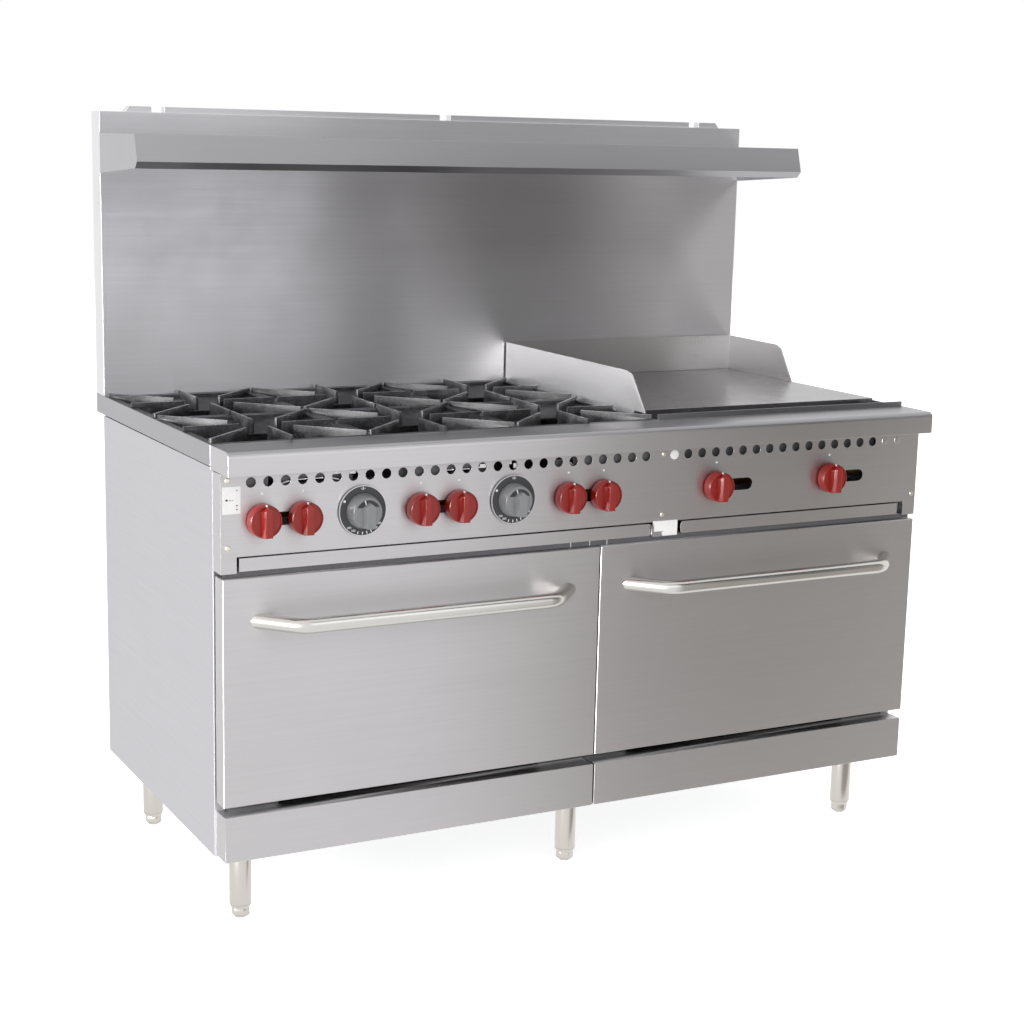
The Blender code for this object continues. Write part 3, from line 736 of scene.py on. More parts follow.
@dataclass
class Ovens(Assembly):
    """Cavities, racks, burners, doors with their liners, and the bowed handles."""

    handle_radius: float = 14 * MM
    stand_off: float = 62 * MM
    bend: float = 45 * MM
    slope: float = math.radians(48)
    half_length: float = 0.3275
    handle_height: float = 0.590

    def build(self) -> None:
        """Builds and dresses both ovens."""
        for side in SIDES:
            self.finish_node(f"oven_cavity_{side}", FINISH.enamel)
            self.finish_node(f"oven_burner_{side}", FINISH.burner)
            self.folded(f"oven_door_{side}", f"door_skin_{side}", FINISH.front, "stainless", 1.6 * MM)
            self.folded(f"door_liner_{side}", f"door_inner_{side}", FINISH.enamel, "enamel", 2 * MM)
            self.handle(side)
            self.rack(side)

    def handle(self, side: str) -> None:
        """Builds a tube handle whose sloping legs are cut flush with the door.

        Args:
            side: Which door.
        """
        node = f"door_handle_{side}"
        low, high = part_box(node)
        middle, door, steps = (low.x + high.x) / 2, high.y, 12
        crossing = self.half_length - self.handle_radius / math.sin(self.slope)
        corner = crossing - self.stand_off / math.tan(self.slope)
        straight_end = corner - self.bend * math.tan(self.slope / 2)
        beyond = 30 * MM
        half = [(crossing + beyond * math.cos(self.slope), -beyond * math.sin(self.slope))]
        for step in range(steps + 1):
            angle = self.slope * (1 - step / steps)
            out = self.stand_off - self.bend * (1 - math.cos(angle))
            half.append((straight_end + self.bend * math.sin(angle), out))
        route = [(-x, out) for x, out in half] + half[::-1]
        points = [(middle + x, door - out, self.handle_height) for x, out in route]
        obj = tube(f"{node}_tube", points, self.handle_radius, 10)
        combine(obj, cube("door", (middle - 0.4, door, 0.5), (middle + 0.4, door + 0.1, 0.7)), Keep.DIFFERENCE)
        dress(smooth(obj, 40), FINISH.tube, "bright_steel", self.body_of(node), node)

    def rack(self, side: str) -> None:
        """Builds a wire rack: a rim, cross wires and a row of thin wires from front to back.

        Args:
            side: Which oven.
        """
        node = f"oven_rack_{side}"
        low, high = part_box(node)
        rim, wire = 3 * MM, 1.9 * MM
        z = low.z + rim
        left, right, front, back = low.x + rim, high.x - rim, low.y + rim, high.y - rim
        corner = 12 * MM
        loop = []
        centres = ((right, back, 0), (left, back, 90), (left, front, 180), (right, front, 270))
        for cx, cy, turn in centres:
            inner_x = cx - corner if cx == right else cx + corner
            inner_y = cy - corner if cy == back else cy + corner
            for step in range(7):
                angle = math.radians(turn + 15 * step)
                loop.append((inner_x + corner * math.cos(angle), inner_y + corner * math.sin(angle), z))
        loop.append(loop[0])
        pieces = [tube("rim", loop, rim, 4)]
        for share in (0.3, 0.7):
            y = front + (back - front) * share
            pieces.append(tube("cross", [(left, y, z - 0.4 * MM), (right, y, z - 0.4 * MM)], 2.4 * MM, 4))
        count = 22
        for index in range(1, count):
            x = left + (right - left) * index / count
            pieces.append(tube("wire", [(x, front, z + 0.9 * MM), (x, back, z + 0.9 * MM)], wire, 3))
        obj = smooth(join(f"{node}_wires", pieces), 60)
        dress(obj, FINISH.wire, "rack_wire", self.body_of(node), node)


@dataclass
class Controls(Assembly):
    """The control panel with its screws, label and plugs, the front rail, the knobs and the dials."""

    knob_radius: float = 30 * MM
    stem_length: float = 29.7 * MM
    bezel_radius: float = 45 * MM
    dial_knob_radius: float = 32.5 * MM
    vent_height: float = 0.8386
    vent_first: float = -0.7062
    vent_pitch: float = 0.0321
    screw_places: tuple = ((-0.749, 0.844), (-0.749, 0.725), (0.752, 0.723), (0.1367, 0.841), (0.1378, 0.722))

    def build(self) -> None:
        """Builds and dresses the controls."""
        self.folded("control_panel", "control_sheet", FINISH.front, "stainless", 0.6 * MM)
        rail = self.folded("front_rail", "landing_ledge", FINISH.rail, "stainless", 1.2 * MM)
        self.repaint(rail, FINISH.ledge, Vector((0, 0, 1)), 0.5)
        self.finish_node("gas_manifold", FINISH.brass)
        self.trim()
        knob = self.knob()
        for node in [n for n in self.frame["nodes"] if n.startswith("knob_")]:
            low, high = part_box(node)
            place = Vector(((low.x + high.x) / 2, high.y - self.stem_length, (low.z + high.z) / 2))
            finishes = (FINISH.red, FINISH.print, FINISH.bezel)
            for piece, name, finish, hidden in zip(knob, ("cap", "mark", "notch"), finishes, ([node], [], [])):
                made = copy_moved(piece, f"{node}_{name}", place)
                dress(made, finish, "red_knob", self.body_of(node), *hidden)
        for piece in knob:
            bpy.data.objects.remove(piece)
        for side in SIDES:
            self.dial(side)

    def grip(self, root: float, front: float, root_half: float, front_half: float, low: float, high: float):
        """Builds a bar grip that narrows forwards and comes to a blunt point at the top.

        Args:
            root: Y of the bar's back.
            front: Y of its front.
            root_half: Half its width at the back.
            front_half: Half its width at the front.
            low: Z of its foot.
            high: Z of its tip.

        Returns:
            The bar, facing -Y.
        """
        bar = cube("bar", (-root_half, front, low), (root_half, root, high))
        for point in bar.data.vertices:
            if point.co.y < (root + front) / 2:
                point.co.x *= front_half / root_half
        size = 0.05
        for sign in (-1, 1):
            cutter = cube("cutter", (0, front - 0.01, 0), (size, root + 0.01, size))
            turn(cutter, math.radians(38) if sign > 0 else math.radians(-128), "Y")
            shift(cutter, (0, 0, high))
            combine(bar, cutter, Keep.DIFFERENCE)
        return bevel(bar, 0.9 * MM, 3, 25)

    def knob(self) -> list[Piece]:
        """Builds a burner knob, its index mark and the notch beside it at the origin, facing -Y.

        Returns:
            The knob, the mark and the notch, for copying.
        """
        radius, face = self.knob_radius, -21.5 * MM
        skirt = tapered("skirt", (0, -0.5 * MM, 0), (0, face, 0), radius, radius - 0.6 * MM, 72)
        bevel(skirt, 2.4 * MM, 4)
        dish = disc("dish", (0, face - 10 * MM, 0), (0, face + 1.6 * MM, 0), radius - 3.6 * MM, 64)
        combine(skirt, dish, Keep.DIFFERENCE)
        bar = self.grip(face + 4 * MM, -35 * MM, 11.5 * MM, 6.6 * MM, -26.5 * MM, 27 * MM)
        stem = disc("stem", (0, -4 * MM, 0), (0, self.stem_length, 0), 4 * MM, 24)
        body = smooth(join("knob_body", [skirt, bar, stem]))
        mark = bevel(cube("mark", (-1.5 * MM, face - 0.5 * MM, 26.6 * MM), (1.5 * MM, -18 * MM, 29.9 * MM)), 0.3 * MM)
        notch = cube("notch", (3.4 * MM, face - 0.2 * MM, 26.8 * MM), (5.6 * MM, -19 * MM, 29.1 * MM))
        return [body, mark, notch]

    def screw(self, name: str, place: Vector, radius: float = 5 * MM) -> None:
        """Builds a pan-head screw that faces -Y.

        Args:
            name: The piece's name.
            place: The centre of its seat.
            radius: The head's radius.
        """
        x, y, z = place
        head = bevel(tapered("head", (x, y, z), (x, y - 2.2 * MM, z), radius, radius * 0.72, 32), 0.7 * MM, 3)
        slot = cube("slot", (x - radius, y - 2.6 * MM, z - 0.45 * MM), (x + radius, y - 1.5 * MM, z + 0.45 * MM))
        combine(head, slot, Keep.DIFFERENCE)
        head.name = name
        dress(smooth(head), FINISH.screw, "stainless")

    def trim(self) -> None:
        """Builds the screws, the blank rating label, the print dots, the plugs and the white corner block."""
        low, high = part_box("control_panel")
        face = low.y
        for index, (x, z) in enumerate(self.screw_places):
            self.screw(f"panel_screw_{index + 1}", Vector((x, face, z)))
        label = bevel(cube("rating_label", (-0.7585, face - 0.35 * MM, 0.785), (-0.7255, face, 0.833)), 0.1 * MM, 1)
        dress(label, FINISH.label, "stainless")
        bars = []
        for row, (x, width, z, height) in enumerate(
            ((-0.7335, 2.4, 0.8255, 1.6), (-0.7335, 2.6, 0.7985, 2.2), (-0.7335, 2.6, 0.7920, 1.8),
             (-0.7530, 4.2, 0.8080, 3.2), (-0.7465, 3.2, 0.8085, 1.2), (-0.7415, 2.6, 0.8085, 0.9))
        ):
            low, high = (x, face - 0.5 * MM, z), (x + width * MM, face - 0.3 * MM, z + height * MM)
            bars.append(cube(f"bar{row}", low, high))
        dress(join("rating_label_marks", bars), FINISH.ink, "stainless")
        dots = []
        for node in [n for n in self.frame["nodes"] if n.startswith("knob_")]:
            box_low, box_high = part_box(node)
            x = (box_low.x + box_high.x) / 2
            dots.append(bevel(disc("dot", (x, face, 0.8175), (x, face - 1.2 * MM, 0.8175), 2.1 * MM, 24), 0.6 * MM))
        dress(smooth(join("burner_dots", dots)), FINISH.print, "stainless")
        self.plugs(face)
        self.corner_block(face)
        self.behind_vents(face)
        self.gap_strip(face)

    def vent_x(self, index: float) -> float:
        """Returns the X of a vent hole, counted from the left."""
        return self.vent_first + self.vent_pitch * index

    def backing(self, face: float, start: float, end: float, low: float, high: float, depth: float):
        """Adds a small plate behind the vents.

        Args:
            face: The Y of the panel's front.
            start: Vent number at its left end; halves and tenths fall between holes.
            end: Vent number at its right end.
            low: Its lower edge, in mm from the row of vents.
            high: Its upper edge, in mm from the row.
            depth: How far behind the panel's front it stands, in mm.

        Returns:
            The plate.
        """
        y, z = face + depth * MM, self.vent_height
        return cube("backing", (self.vent_x(start), y, z + low * MM), (self.vent_x(end), y + 1 * MM, z + high * MM))

    def behind_vents(self, face: float) -> None:
        """Builds what shows through the vents: baffles, terminal blocks, and capillary and pilot tubes.

        Args:
            face: The Y of the panel's front.
        """
        # Plates and blocks: vent numbers of the ends, lower and upper edge in mm, depth in mm.
        near, far = 9, 15
        spans = (
            (-0.45, 1.08, -12, 12, near), (1.6, 2.3, -12, 12, near), (2.3, 4.45, -2.4, 12, near),
            (4.45, 6.1, -12, 12, near + 4), (8.6, 9.45, -12, 12, far), (9.55, 11.5, -12, 12, near),
            (11.5, 13.5, -2.4, 12, near), (13.5, 14.5, -12, -2, far), (18.6, 19.5, -12, 3, near + 3),
            (20.15, 20.6, -12, 12, near + 2), (20.6, 25.5, -12, 12, near), (27.5, 31.6, -12, 12, far),
            (31.6, 37.5, -12, 12, near + 4), (37.5, 42.5, -12, 12, far),
        )
        plates = [self.backing(face, *span) for span in spans]
        dress(join("vent_baffles", plates), FINISH.baffle, "stainless")
        blocks = ((4.85, 5.45, 4.5, 12, 5), (5.85, 6.18, 3.2, 12, 5), (13.9, 14.45, 0.8, 5, 5),
                  (13.6, 14.45, -2.0, 0.8, 5), (16.1, 16.45, -6.5, 2.5, 6), (15.8, 15.97, 1.5, 6.5, 6))
        dress(join("terminal_blocks", [self.backing(face, *span) for span in blocks]), FINISH.block, "stainless")
        # Tubes: vent number and height in mm of each bend.
        runs = (
            ((1.75, -7), (2.4, -1.5), (2.7, -1), (4.5, -1), (4.75, -2), (5.3, -7)),
            ((11.45, -2), (13.5, -2), (13.75, -1)),
            ((19.75, -1), (20.1, -9)),
        )
        y, tubes = face + 6 * MM, []
        for run in runs:
            points = [(self.vent_x(index), y, self.vent_height + drop * MM) for index, drop in run]
            tubes.append(tube("run", points, 1.5 * MM, 3))
        dress(smooth(join("capillary_tubes", tubes), 60), FINISH.wire, "bright_steel")
        pilots = []
        for node in ("knob_griddle_left", "knob_griddle_right"):
            low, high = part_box(node)
            x = (low.x + high.x) / 2
            start, end = (x + 34 * MM, face + 17 * MM, 0.766), (x + 56 * MM, face + 26 * MM, 0.763)
            pilots.append(disc("pilot", start, end, 2.6 * MM, 16))
        dress(smooth(join("pilot_tubes", pilots)), FINISH.copper, "stainless")

    def gap_strip(self, face: float) -> None:
        """Builds the lip that closes the gap between the panel and the doors, with three white ties on it.

        Args:
            face: The Y of the panel's front.
        """
        y = face + 10 * MM
        strip = cube("door_gap_lip", (-0.755, y, 0.6700), (0.755, y + 1.5 * MM, 0.6806))
        dress(strip, FINISH.baffle, "stainless")
        ties = []
        for x in (-0.060, -0.018, 0.020):
            ties.append(cube("tie", (x - 0.8 * MM, y - 0.6 * MM, 0.6704), (x + 0.8 * MM, y + 0.2 * MM, 0.6795)))
        dress(join("gap_ties", ties), FINISH.block, "stainless")

    def plugs(self, face: float) -> None:
        """Builds the white button plug and the two blank plugs at the right-hand end of the vents.

        Args:
            face: The Y of the panel's front.
        """
        sizes = [("vent_plug", 0.1604, 1.0, -1.8, 9.6, 8.6, 0.8, 3, FINISH.block)]
        for index, x in enumerate((0.6742, 0.7063)):
            sizes.append((f"vent_blank_{index + 1}", x, 0.5, -1.0, 8.2, 7.4, 0.5, 2, FINISH.front))
        for name, x, back, front, root, tip, edge, segments, finish in sizes:
            start, end = ((x, face + depth * MM, self.vent_height) for depth in (back, front))
            plug = bevel(tapered(name, start, end, root * MM, tip * MM), edge * MM, segments)
            dress(smooth(plug), finish, "stainless")

    def corner_block(self, face: float) -> None:
        """Builds the white nylon block that locates the panel on the post between the trays.

        Args:
            face: The Y of the panel's front.
        """
        upper = cube("corner_block", (0.1185, face - 3 * MM, 0.6895), (0.1715, face + 1 * MM, 0.7095))
        lower = cube("lower", (0.1395, face - 3.01 * MM, 0.6800), (0.1714, face + 0.99 * MM, 0.6990))
        combine(upper, lower, Keep.UNION)
        dress(smooth(bevel(upper, 0.8 * MM, 2)), FINISH.block, "stainless")

    def dial(self, side: str) -> None:
        """Builds a thermostat: the black dial with its print, and the grey knob with its pointer.

        Args:
            side: Which oven it controls.
        """
        node = f"thermostat_{side}"
        low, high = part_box(node)
        x, z, front = (low.x + high.x) / 2, (low.z + high.z) / 2, low.y
        radius = self.bezel_radius
        plate = bevel(disc(f"{node}_dial", (x, front + 5 * MM, z), (x, front, z), radius, 96), 0.8 * MM, 3)
        shaft = disc("shaft", (x, front + 4 * MM, z), (x, high.y - 27 * MM, z), 12 * MM, 32)
        case = cube("case", (x - 30 * MM, high.y - 28 * MM, z - 26 * MM), (x + 30 * MM, high.y, z + 26 * MM))
        bevel(case, 2 * MM)
        dress(smooth(join(f"{node}_dial", [plate, shaft, case])), FINISH.bezel, "black_bezel", ROOT, node)
        rim = disc(f"{node}_rim", (x, front + 2.6 * MM, z), (x, front - 0.25 * MM, z), radius + 0.8 * MM, 96)
        bore = disc("bore", (x, front + 9 * MM, z), (x, front - 9 * MM, z), radius - 0.5 * MM, 96)
        combine(rim, bore, Keep.DIFFERENCE)
        dress(smooth(rim), FINISH.wire, "black_bezel")
        self.print_dial(node, Vector((x, front, z)))
        self.dial_knob(side, Vector((x, front, z)))

    def print_dial(self, node: str, centre: Vector) -> None:
        """Builds the white print of a dial: an index at the top, an off dot, ticks and temperatures.

        Args:
            node: The thermostat's name.
            centre: The middle of the dial's face.
        """
        marks = []
        ring = self.bezel_radius - 4.6 * MM
        for clock in (-166, -179, 169, 157):
            tick = cube("tick", (-0.8 * MM, -0.3 * MM, ring - 2.4 * MM), (0.8 * MM, 0, ring + 2.6 * MM))
            turn(tick, math.radians(clock), "Y")
            marks.append(tick)
        marks.append(cube("index", (-0.8 * MM, -0.3 * MM, ring - 1.6 * MM), (0.8 * MM, 0, ring + 3.0 * MM)))
        for step in range(7):
            angle = math.radians(-60 + 20 * step)
            bit = cube("cup", (-0.9 * MM, -0.3 * MM, -4.6 * MM), (0.9 * MM, 0, -3.6 * MM))
            turn(bit, angle, "Y")
            shift(bit, (0, 0, ring + 2.4 * MM))
            marks.append(bit)
        off = Vector((math.sin(math.radians(-62)) * ring, 0, math.cos(math.radians(-62)) * ring))
        marks.append(disc("off", off, off + Vector((0, -0.3 * MM, 0)), 2.3 * MM, 24))
        for words, clock in (("200", -138), ("300", -152), ("400", 143), ("500", 128)):
            marks.append(self.figure(words, math.radians(clock), ring))
        print_ = join(f"{node}_print", marks)
        shift(print_, centre)
        dress(print_, FINISH.print, "black_bezel")

    def figure(self, words: str, angle: float, ring: float) -> Piece:
        """Builds a temperature, upright on the dial at an angle from the top.

        Args:
            words: The figures.
            angle: Clockwise angle from 12 o'clock, in radians.
            ring: Distance from the dial's middle.

        Returns:
            A thin mesh whose face is towards -Y.
        """
        deselect()
        bpy.ops.object.text_add()
        text = bpy.context.object
        text.data.body = words
        text.data.size = 5.6 * MM
        text.data.extrude = 0.15 * MM
        text.data.align_x = "CENTER"
        text.data.align_y = "CENTER"
        bpy.ops.object.convert(target="MESH")
        text = bpy.context.object
        turn(text, math.pi / 2, "X")
        out = ring - 0.5 * MM
        shift(text, (math.sin(angle) * out, -0.15 * MM, math.cos(angle) * out))
        return text

    def dial_knob(self, side: str, centre: Vector) -> None:
        """Builds the grey thermostat knob with a bar grip, a black sector and a white pointer.

        Args:
            side: Which oven it controls.
            centre: The middle of the dial's face.
        """
        node = f"thermostat_knob_{side}"
        body, radius = self.body_of(node), self.dial_knob_radius
        skirt = tapered("skirt", (0, -0.3 * MM, 0), (0, -23.7 * MM, 0), radius, radius - 5 * MM, 80)
        bevel(skirt, 1.6 * MM, 3)
        face = bevel(disc("face", (0, -22 * MM, 0), (0, -24.4 * MM, 0), radius - 8 * MM, 64), 0.6 * MM)
        bar = self.grip(-19.7 * MM, -40.8 * MM, 9.8 * MM, 7.8 * MM, -26 * MM, 19 * MM)
        for piece in (skirt, face, bar):
            shift(piece, centre)
        dress(smooth(join(f"{node}_cap", [skirt, face, bar])), FINISH.grey, "grey_knob", body, node)
        sector = disc("sector", (0, -24.3 * MM, 0), (0, -24.8 * MM, 0), radius - 9 * MM, 64)
        cutter = cube("cutter", (-40 * MM, -30 * MM, -40 * MM), (40 * MM, -20 * MM, 10 * MM))
        combine(sector, cutter, Keep.DIFFERENCE)
        shift(sector, centre)
        sector.name = f"{node}_sector"
        dress(sector, FINISH.bezel, "grey_knob", body)
        pointer = cube(f"{node}_pointer", (-0.9 * MM, -25.4 * MM, 15 * MM), (0.9 * MM, -24.7 * MM, 23.5 * MM))
        turn(pointer, math.radians(-16), "Y")
        shift(pointer, centre)
        dress(pointer, FINISH.print, "grey_knob", body)


@dataclass
class Cooktop(Assembly):
    """The deck, the grates, the burners, the griddle with its guards, and the trays."""

    rim: float = 13 * MM
    rib: float = 6.4 * MM
    rib_depth: float = 27 * MM
    bowl_drop: float = 17 * MM
    bowl_wall: float = 4.5 * MM
    opening: float = 60 * MM
    worn_and_highlight_depth: float = 1.2 * MM
    tray_corner: float = 6 * MM

    def build(self) -> None:
        """Builds and dresses the cooktop."""
        self.folded("cooktop_frame", "deck_sheet", FINISH.deck, "stainless", 0.9 * MM)
        grate = self.grate()
        for row in ROWS:
            for column in COLUMNS:
                self.place_grate(grate, f"grate_{row}_{column}")
                self.finish_node(f"burner_{row}_{column}", FINISH.burner)
        bpy.data.objects.remove(grate)
        self.folded("griddle_plate", "griddle_slab", FINISH.griddle, "griddle_steel", 1.2 * MM)
        guards = self.folded("griddle_splash", "griddle_guards", FINISH.guard, "stainless", 0.5 * MM)
        # The guard's outer left face gets the paler copy of its steel: painted light from the left.
        self.repaint(guards, FINISH.guard_painted_lit, Vector((-1, 0, 0)), 0.9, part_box("griddle_splash")[0].x + 5 * MM)
        self.folded("grease_trough", "grease_gutter", FINISH.ledge, "stainless", 0.4 * MM)
        self.finish_node("griddle_burner", FINISH.burner)
        for side in SIDES:
            self.tray(side)

    def tray(self, side: str) -> None:
        """Dresses a drip tray, whose front has rounded corners at the end by the middle post.

        Args:
            side: Which tray.
        """
        node = f"drip_tray_{side}"
        low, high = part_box(node)
        obj = self.merged(node, f"tray_sheet_{side}")
        end = high.x if side == "left" else low.x
        mesh, near = obj.data, 0.2 * MM
        for group in (mesh.vertices, mesh.edges, mesh.polygons):
            for item in group:
                item.select = False
        for edge in mesh.edges:
            a, b = (mesh.vertices[i].co for i in edge.vertices)
            at_end = abs(a.x - end) < near and abs(b.x - end) < near
            edge.select = at_end and abs(a.y - b.y) > 1 * MM and abs(a.z - b.z) < near / 2
        pick(obj)
        bpy.ops.object.mode_set(mode="EDIT")
        bpy.ops.mesh.select_mode(type="EDGE")
        bpy.ops.mesh.bevel(offset=self.tray_corner, segments=5)
        bpy.ops.object.mode_set(mode="OBJECT")
        self.sheet(obj, node, FINISH.front, "stainless", 0.3 * MM)

    def grate(self) -> Piece:
        """Builds one cast grate at the origin: a rim, a dished bowl and eight ribs.

        Returns:
            The grate, for copying. Its Z is the real one.
        """
        low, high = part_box("grate_front_left")
        half = (high - low) / 2
        top, deck, base = high.z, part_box("cooktop_frame")[1].z, low.z
        frame = self.grate_frame(half.x, half.y, base, deck)
        for index in range(8):
            angle = math.pi / 4 * index
            direction = Vector((math.cos(angle), math.sin(angle), 0))
            sizes = zip(half[:2], direction[:2])
            reach = min((size - 3 * MM) / abs(part) for size, part in sizes if abs(part) > 0.01)
            start = 42 * MM if index % 2 == 0 else 66 * MM
            rib = cube("rib", (start, -self.rib / 2, top - self.rib_depth), (reach, self.rib / 2, top))
            for point in rib.data.vertices:
                if point.co.z > top - 1 * MM:
                    point.co.y *= 0.78
            turn(rib, angle, "Z")
            combine(frame, rib, Keep.UNION)
        bevel(frame, 1.1 * MM, 2, 30)
        frame.name = "grate"
        return smooth(frame, 40)

    def grate_frame(self, half_x: float, half_y: float, base: float, top: float) -> Piece:
        """Builds the rim and the dished bowl with its open middle.

        Args:
            half_x: Half the width.
            half_y: Half the depth.
            base: Height of the underside.
            top: Height of the rim's top.

        Returns:
            One closed solid.
        """
        frame = cube("frame", (-half_x, -half_y, base), (half_x, half_y, top))
        rim = self.rim
        hollow = cube("hollow", (rim - half_x, rim - half_y, base - 0.01), (half_x - rim, half_y - rim, top + 0.01))
        combine(frame, hollow, Keep.DIFFERENCE)
        bowl = self.bowl(half_x - rim + 4 * MM, half_y - rim + 4 * MM, top - 5 * MM)
        return combine(frame, bowl, Keep.UNION)

    def bowl(self, edge_x: float, edge_y: float, top: float) -> Piece:
        """Builds the dished plate: four slopes down to a square opening.

        Args:
            edge_x: Half its width.
            edge_y: Half its depth.
            top: Height of its outer edge.

        Returns:
            A closed plate.
        """
        deselect()
        bpy.ops.mesh.primitive_plane_add(size=2)
        bowl = bpy.context.object
        bpy.ops.object.mode_set(mode="EDIT")
        bpy.ops.mesh.select_all(action="SELECT")
        bpy.ops.mesh.inset(thickness=0.4, depth=0)
        bpy.ops.mesh.delete(type="ONLY_FACE")
        bpy.ops.object.mode_set(mode="OBJECT")
        for point in bowl.data.vertices:
            inner = abs(point.co.x) < 0.9
            point.co.x = math.copysign(self.opening if inner else edge_x, point.co.x)
            point.co.y = math.copysign(self.opening if inner else edge_y, point.co.y)
            point.co.z = top - self.bowl_drop if inner else top
        return apply_modifier(bowl, "SOLIDIFY", thickness=self.bowl_wall, offset=-1)

    def place_grate(self, grate: Piece, node: str) -> None:
        """Copies the grate to where a CAD grate is, with a paler bare-metal finish on the tops of its ribs: partly
        paint worn off, partly a painted highlight for their bright top edges.

        Args:
            grate: The finished grate at the origin.
            node: The CAD grate that the copy replaces.
        """
        low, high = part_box(node)
        offset = Vector(((low.x + high.x) / 2, (low.y + high.y) / 2, 0))
        casting = copy_moved(grate, f"{node}_casting", offset)
        dress(casting, FINISH.iron, "cast_iron", self.body_of(node), node)
        # The rib tops get the paler bare-metal finish: partly wear, partly a painted highlight.
        casting.data.materials.append(FINISH.worn.material())
        for face in casting.data.polygons:
            face.material_index = int(face.center.z > high.z - self.worn_and_highlight_depth)


@dataclass
class Backguard(Assembly):
    """The riser with its flue caps, and the high shelf."""

    def build(self) -> None:
        """Builds and dresses the backguard."""
        self.folded("riser", "riser_sheet", FINISH.riser, "stainless", 0.9 * MM)
        self.folded("high_shelf", "shelf_sheet", FINISH.shelf, "stainless", 0.8 * MM)


@dataclass
class Studio:
    """Camera, floor, lights and reflections.

    The flag's shades run along X, as pairs of a place and a colour: one row each for the front, the
    riser, the shelf and the strip above it. Its bands say which row starts at what height, and over what
    stretch it takes over from the row below.
    """

    eye: Vector = field(default_factory=lambda: Vector((-1.83037, -3.41604, 1.43294)))
    azimuth: float = -28.03
    elevation: float = 11.09
    roll: float = 1.36
    lens: float = 67.0
    sensor: float = 36.0
    floor_glow: float = 0.6
    flag_low: Vector = field(default_factory=lambda: Vector((-0.60, -1.14, -0.60)))
    flag_high: Vector = field(default_factory=lambda: Vector((2.40, -1.14, 2.20)))
    low_shades: tuple = (
        (-0.60, "#DCDCDC"), (0.00, "#D8D8DA"), (0.28, "#C3C1C0"), (0.45, "#A5A2A0"), (0.60, "#9B9895"),
        (0.90, "#96938F"), (1.10, "#979490"), (1.50, "#A19E99"), (2.40, "#A9A6A2"),
    )
    riser_shades: tuple = (
        (-0.60, "#FDFDFF"), (0.05, "#FDFDFF"), (0.24, "#EEEEF2"), (0.35, "#E4E4E8"), (0.385, "#8E8E8D"),
        (0.50, "#A1A0A0"), (0.62, "#A7A6A5"), (0.76, "#807F7E"), (0.90, "#6C6C6B"), (1.06, "#626161"),
        (1.26, "#737272"), (1.48, "#AFAEAD"), (1.66, "#6E6E6D"), (2.40, "#6E6E6D"),
    )
    shelf_shades: tuple = (
        (-0.60, "#BEBFC0"), (-0.38, "#BCBCBD"), (-0.03, "#B5B6B7"), (0.22, "#A7A8A8"), (0.34, "#8B8B8B"),
        (0.62, "#6A6969"), (0.90, "#595958"), (1.10, "#595958"), (1.42, "#71706F"), (2.40, "#757473"),
    )
    cap_shades: tuple = (
        (-0.60, "#A8A8AA"), (0.22, "#959597"), (0.36, "#2A2A2B"), (0.80, "#000000"), (1.40, "#101010"),
        (2.40, "#3A3938"),
    )
    bands: tuple = ((1, 0.74, 0.88), (2, 1.36, 1.39), (3, 1.425, 1.44), (2, 1.60, 1.62))
    flag_power: float = 1.4

    def build(self) -> None:
        """Sets up the camera and the studio."""
        self.camera()
        self.floor()
        self.world()
        self.lamps()
        self.flag()

    def camera(self) -> None:
        """Adds the camera at its real place, with its roll."""
        az, el, roll = (math.radians(a) for a in (self.azimuth, self.elevation, self.roll))
        forward = Vector((-math.sin(az) * math.cos(el), math.cos(az) * math.cos(el), -math.sin(el)))
        right = Vector((math.cos(az), math.sin(az), 0))
        up = right.cross(forward)
        turned_right = right * math.cos(roll) + up * math.sin(roll)
        turned_up = up * math.cos(roll) - right * math.sin(roll)
        rotation = Matrix((turned_right, turned_up, -forward)).transposed()
        data = bpy.data.cameras.new("camera")
        data.lens = self.lens
        data.sensor_width = self.sensor
        obj = bpy.data.objects.new("camera", data)
        obj.matrix_world = Matrix.Translation(self.eye) @ rotation.to_4x4()
        bpy.context.scene.collection.objects.link(obj)
        bpy.context.scene.camera = obj

    def floor(self) -> None:
        """Adds a plain white floor, lit so that it meets the surround without an edge."""
        deselect()
        bpy.ops.mesh.primitive_plane_add(size=30, location=(0, 0, -0.0005))
        floor = bpy.context.object
        floor.name = "studio_floor"
        paint = Finish("studio_paint", "#FAFAFA", 0.9).material()
        shader = paint.node_tree.nodes["Principled BSDF"]
        shader.inputs["Emission Color"].default_value = (1, 1, 1, 1)
        shader.inputs["Emission Strength"].default_value = self.floor_glow
        floor.data.materials.append(paint)
        floor.visible_glossy = floor.visible_diffuse = floor.visible_shadow = False

    def world(self) -> None:
        """Lights the set evenly with a white surround."""
        world = bpy.data.worlds.new("studio")
        bpy.context.scene.world = world
        world.use_nodes = True
        background = world.node_tree.nodes["Background"]
        background.inputs["Color"].default_value = (1, 1, 1, 1)
        background.inputs["Strength"].default_value = 1.0
        bpy.context.scene.view_settings.view_transform = "Standard"

    def lamps(self) -> None:
        """Adds the window-like key from the left and a strip that draws the bright edges."""
        window = self.area("window", Vector((-3.0, 0.3, 2.0)), Vector((0, 0.1, 0.8)), 2.2, 110)
        window.visible_glossy = False
        strip = self.area("edge_strip", Vector((-3.3, -1.9, 1.0)), Vector((0, -0.3, 0.6)), 1.0, 260)
        strip.visible_diffuse = False

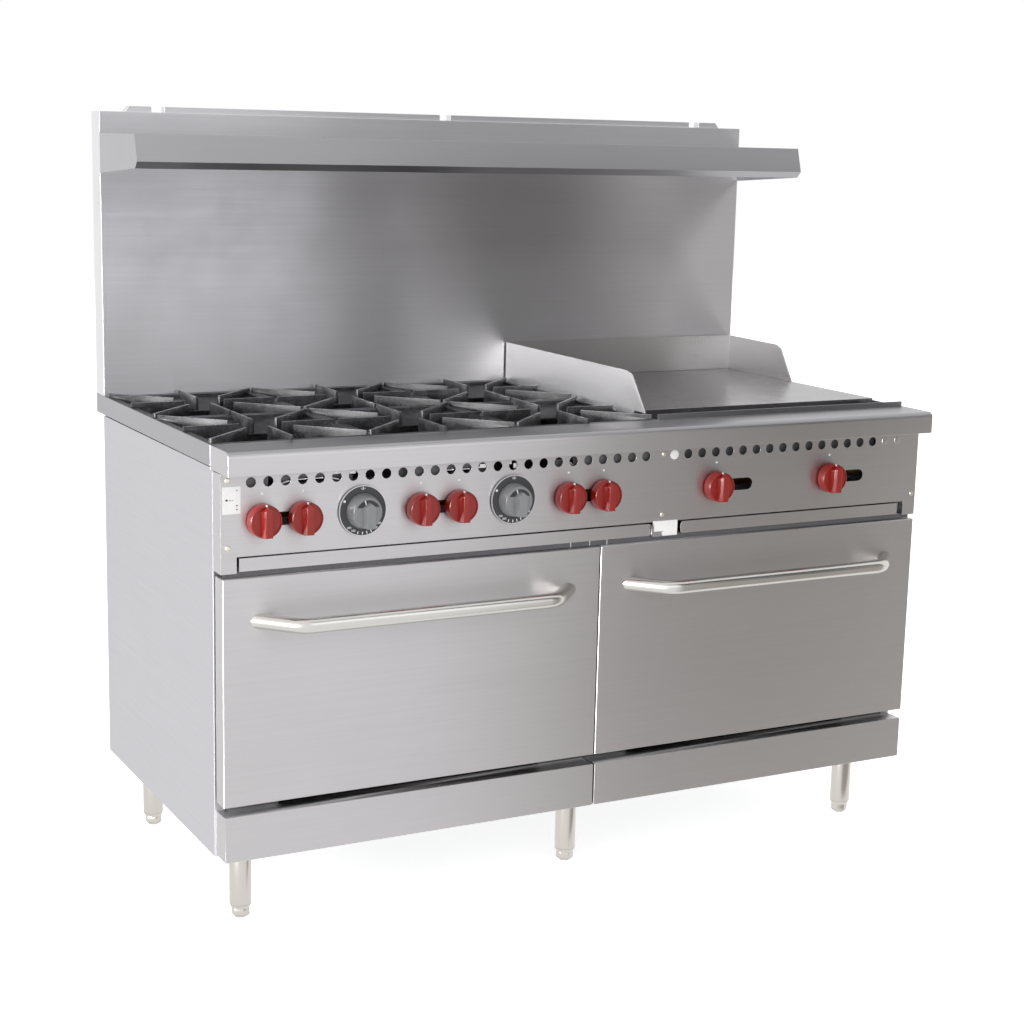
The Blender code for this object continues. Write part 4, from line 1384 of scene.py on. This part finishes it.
    def flag(self) -> None:
        """Adds the upright grey flag that the brushed front mirrors. Nothing but reflections shows it."""
        deselect()
        low, high = self.flag_low, self.flag_high
        bpy.ops.mesh.primitive_plane_add(size=1)
        card = bpy.context.object
        turn(card, math.pi / 2, "X")
        card.data.transform(Matrix.Diagonal((high.x - low.x, 1, high.z - low.z, 1)))
        shift(card, (low + high) / 2)
        card.name = "flag"
        cloth = Finish("flag_cloth", "#000000", 1.0).material()
        tree = cloth.node_tree
        shader = tree.nodes["Principled BSDF"]
        shader.inputs["Specular IOR Level"].default_value = 0
        place = add_node(tree, "ShaderNodeTexCoord").outputs["Object"]
        across, _, up = add_node(tree, "ShaderNodeSeparateXYZ", {0: place}).outputs
        share = add_node(tree, "ShaderNodeMapRange", {0: across, 1: low.x, 2: high.x}).outputs[0]
        shades = []
        for stops in (self.low_shades, self.riser_shades, self.shelf_shades, self.cap_shades):
            bands = add_node(tree, "ShaderNodeValToRGB", {0: share})
            for position, shade in stops[1:-1]:
                bands.color_ramp.elements.new((position - low.x) / (high.x - low.x)).color = linear(shade)
            bands.color_ramp.elements[0].color = linear(stops[0][1])
            bands.color_ramp.elements[-1].color = linear(stops[-1][1])
            shades.append(bands.outputs[0])
        mixed = shades[0]
        for band, start, end in self.bands:
            height = add_node(tree, "ShaderNodeMapRange", {0: up, 1: start, 2: end}).outputs[0]
            mixed = add_node(tree, "ShaderNodeMixRGB", {0: height, 1: mixed, 2: shades[band]}).outputs[0]
        tree.links.new(mixed, shader.inputs["Emission Color"])
        shader.inputs["Emission Strength"].default_value = self.flag_power
        card.data.materials.append(cloth)
        card.visible_camera = card.visible_diffuse = card.visible_shadow = card.visible_transmission = False

    def area(self, name: str, place: Vector, target: Vector, size: float, power: float) -> Piece:
        """Adds a square area light that faces a target.

        Args:
            name: The light's name.
            place: Where it stands.
            target: What it faces.
            size: Its side, in metres.
            power: Its power, in watts.

        Returns:
            The light's object.
        """
        data = bpy.data.lights.new(name, "AREA")
        data.size = size
        data.energy = power
        obj = bpy.data.objects.new(name, data)
        obj.location = place
        obj.rotation_euler = (target - place).to_track_quat("-Z", "Y").to_euler()
        bpy.context.scene.collection.objects.link(obj)
        return obj


def main() -> None:
    """Builds every sub-assembly in order."""
    logging.basicConfig(level=logging.INFO, format="%(name)s: %(message)s")
    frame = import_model()
    for assembly in (Body, Ovens, Controls, Cooktop, Backguard):
        assembly(frame).build()
        LOG.info("%s done", assembly.__name__)
    Studio().build()


if __name__ == "__main__":
    main()
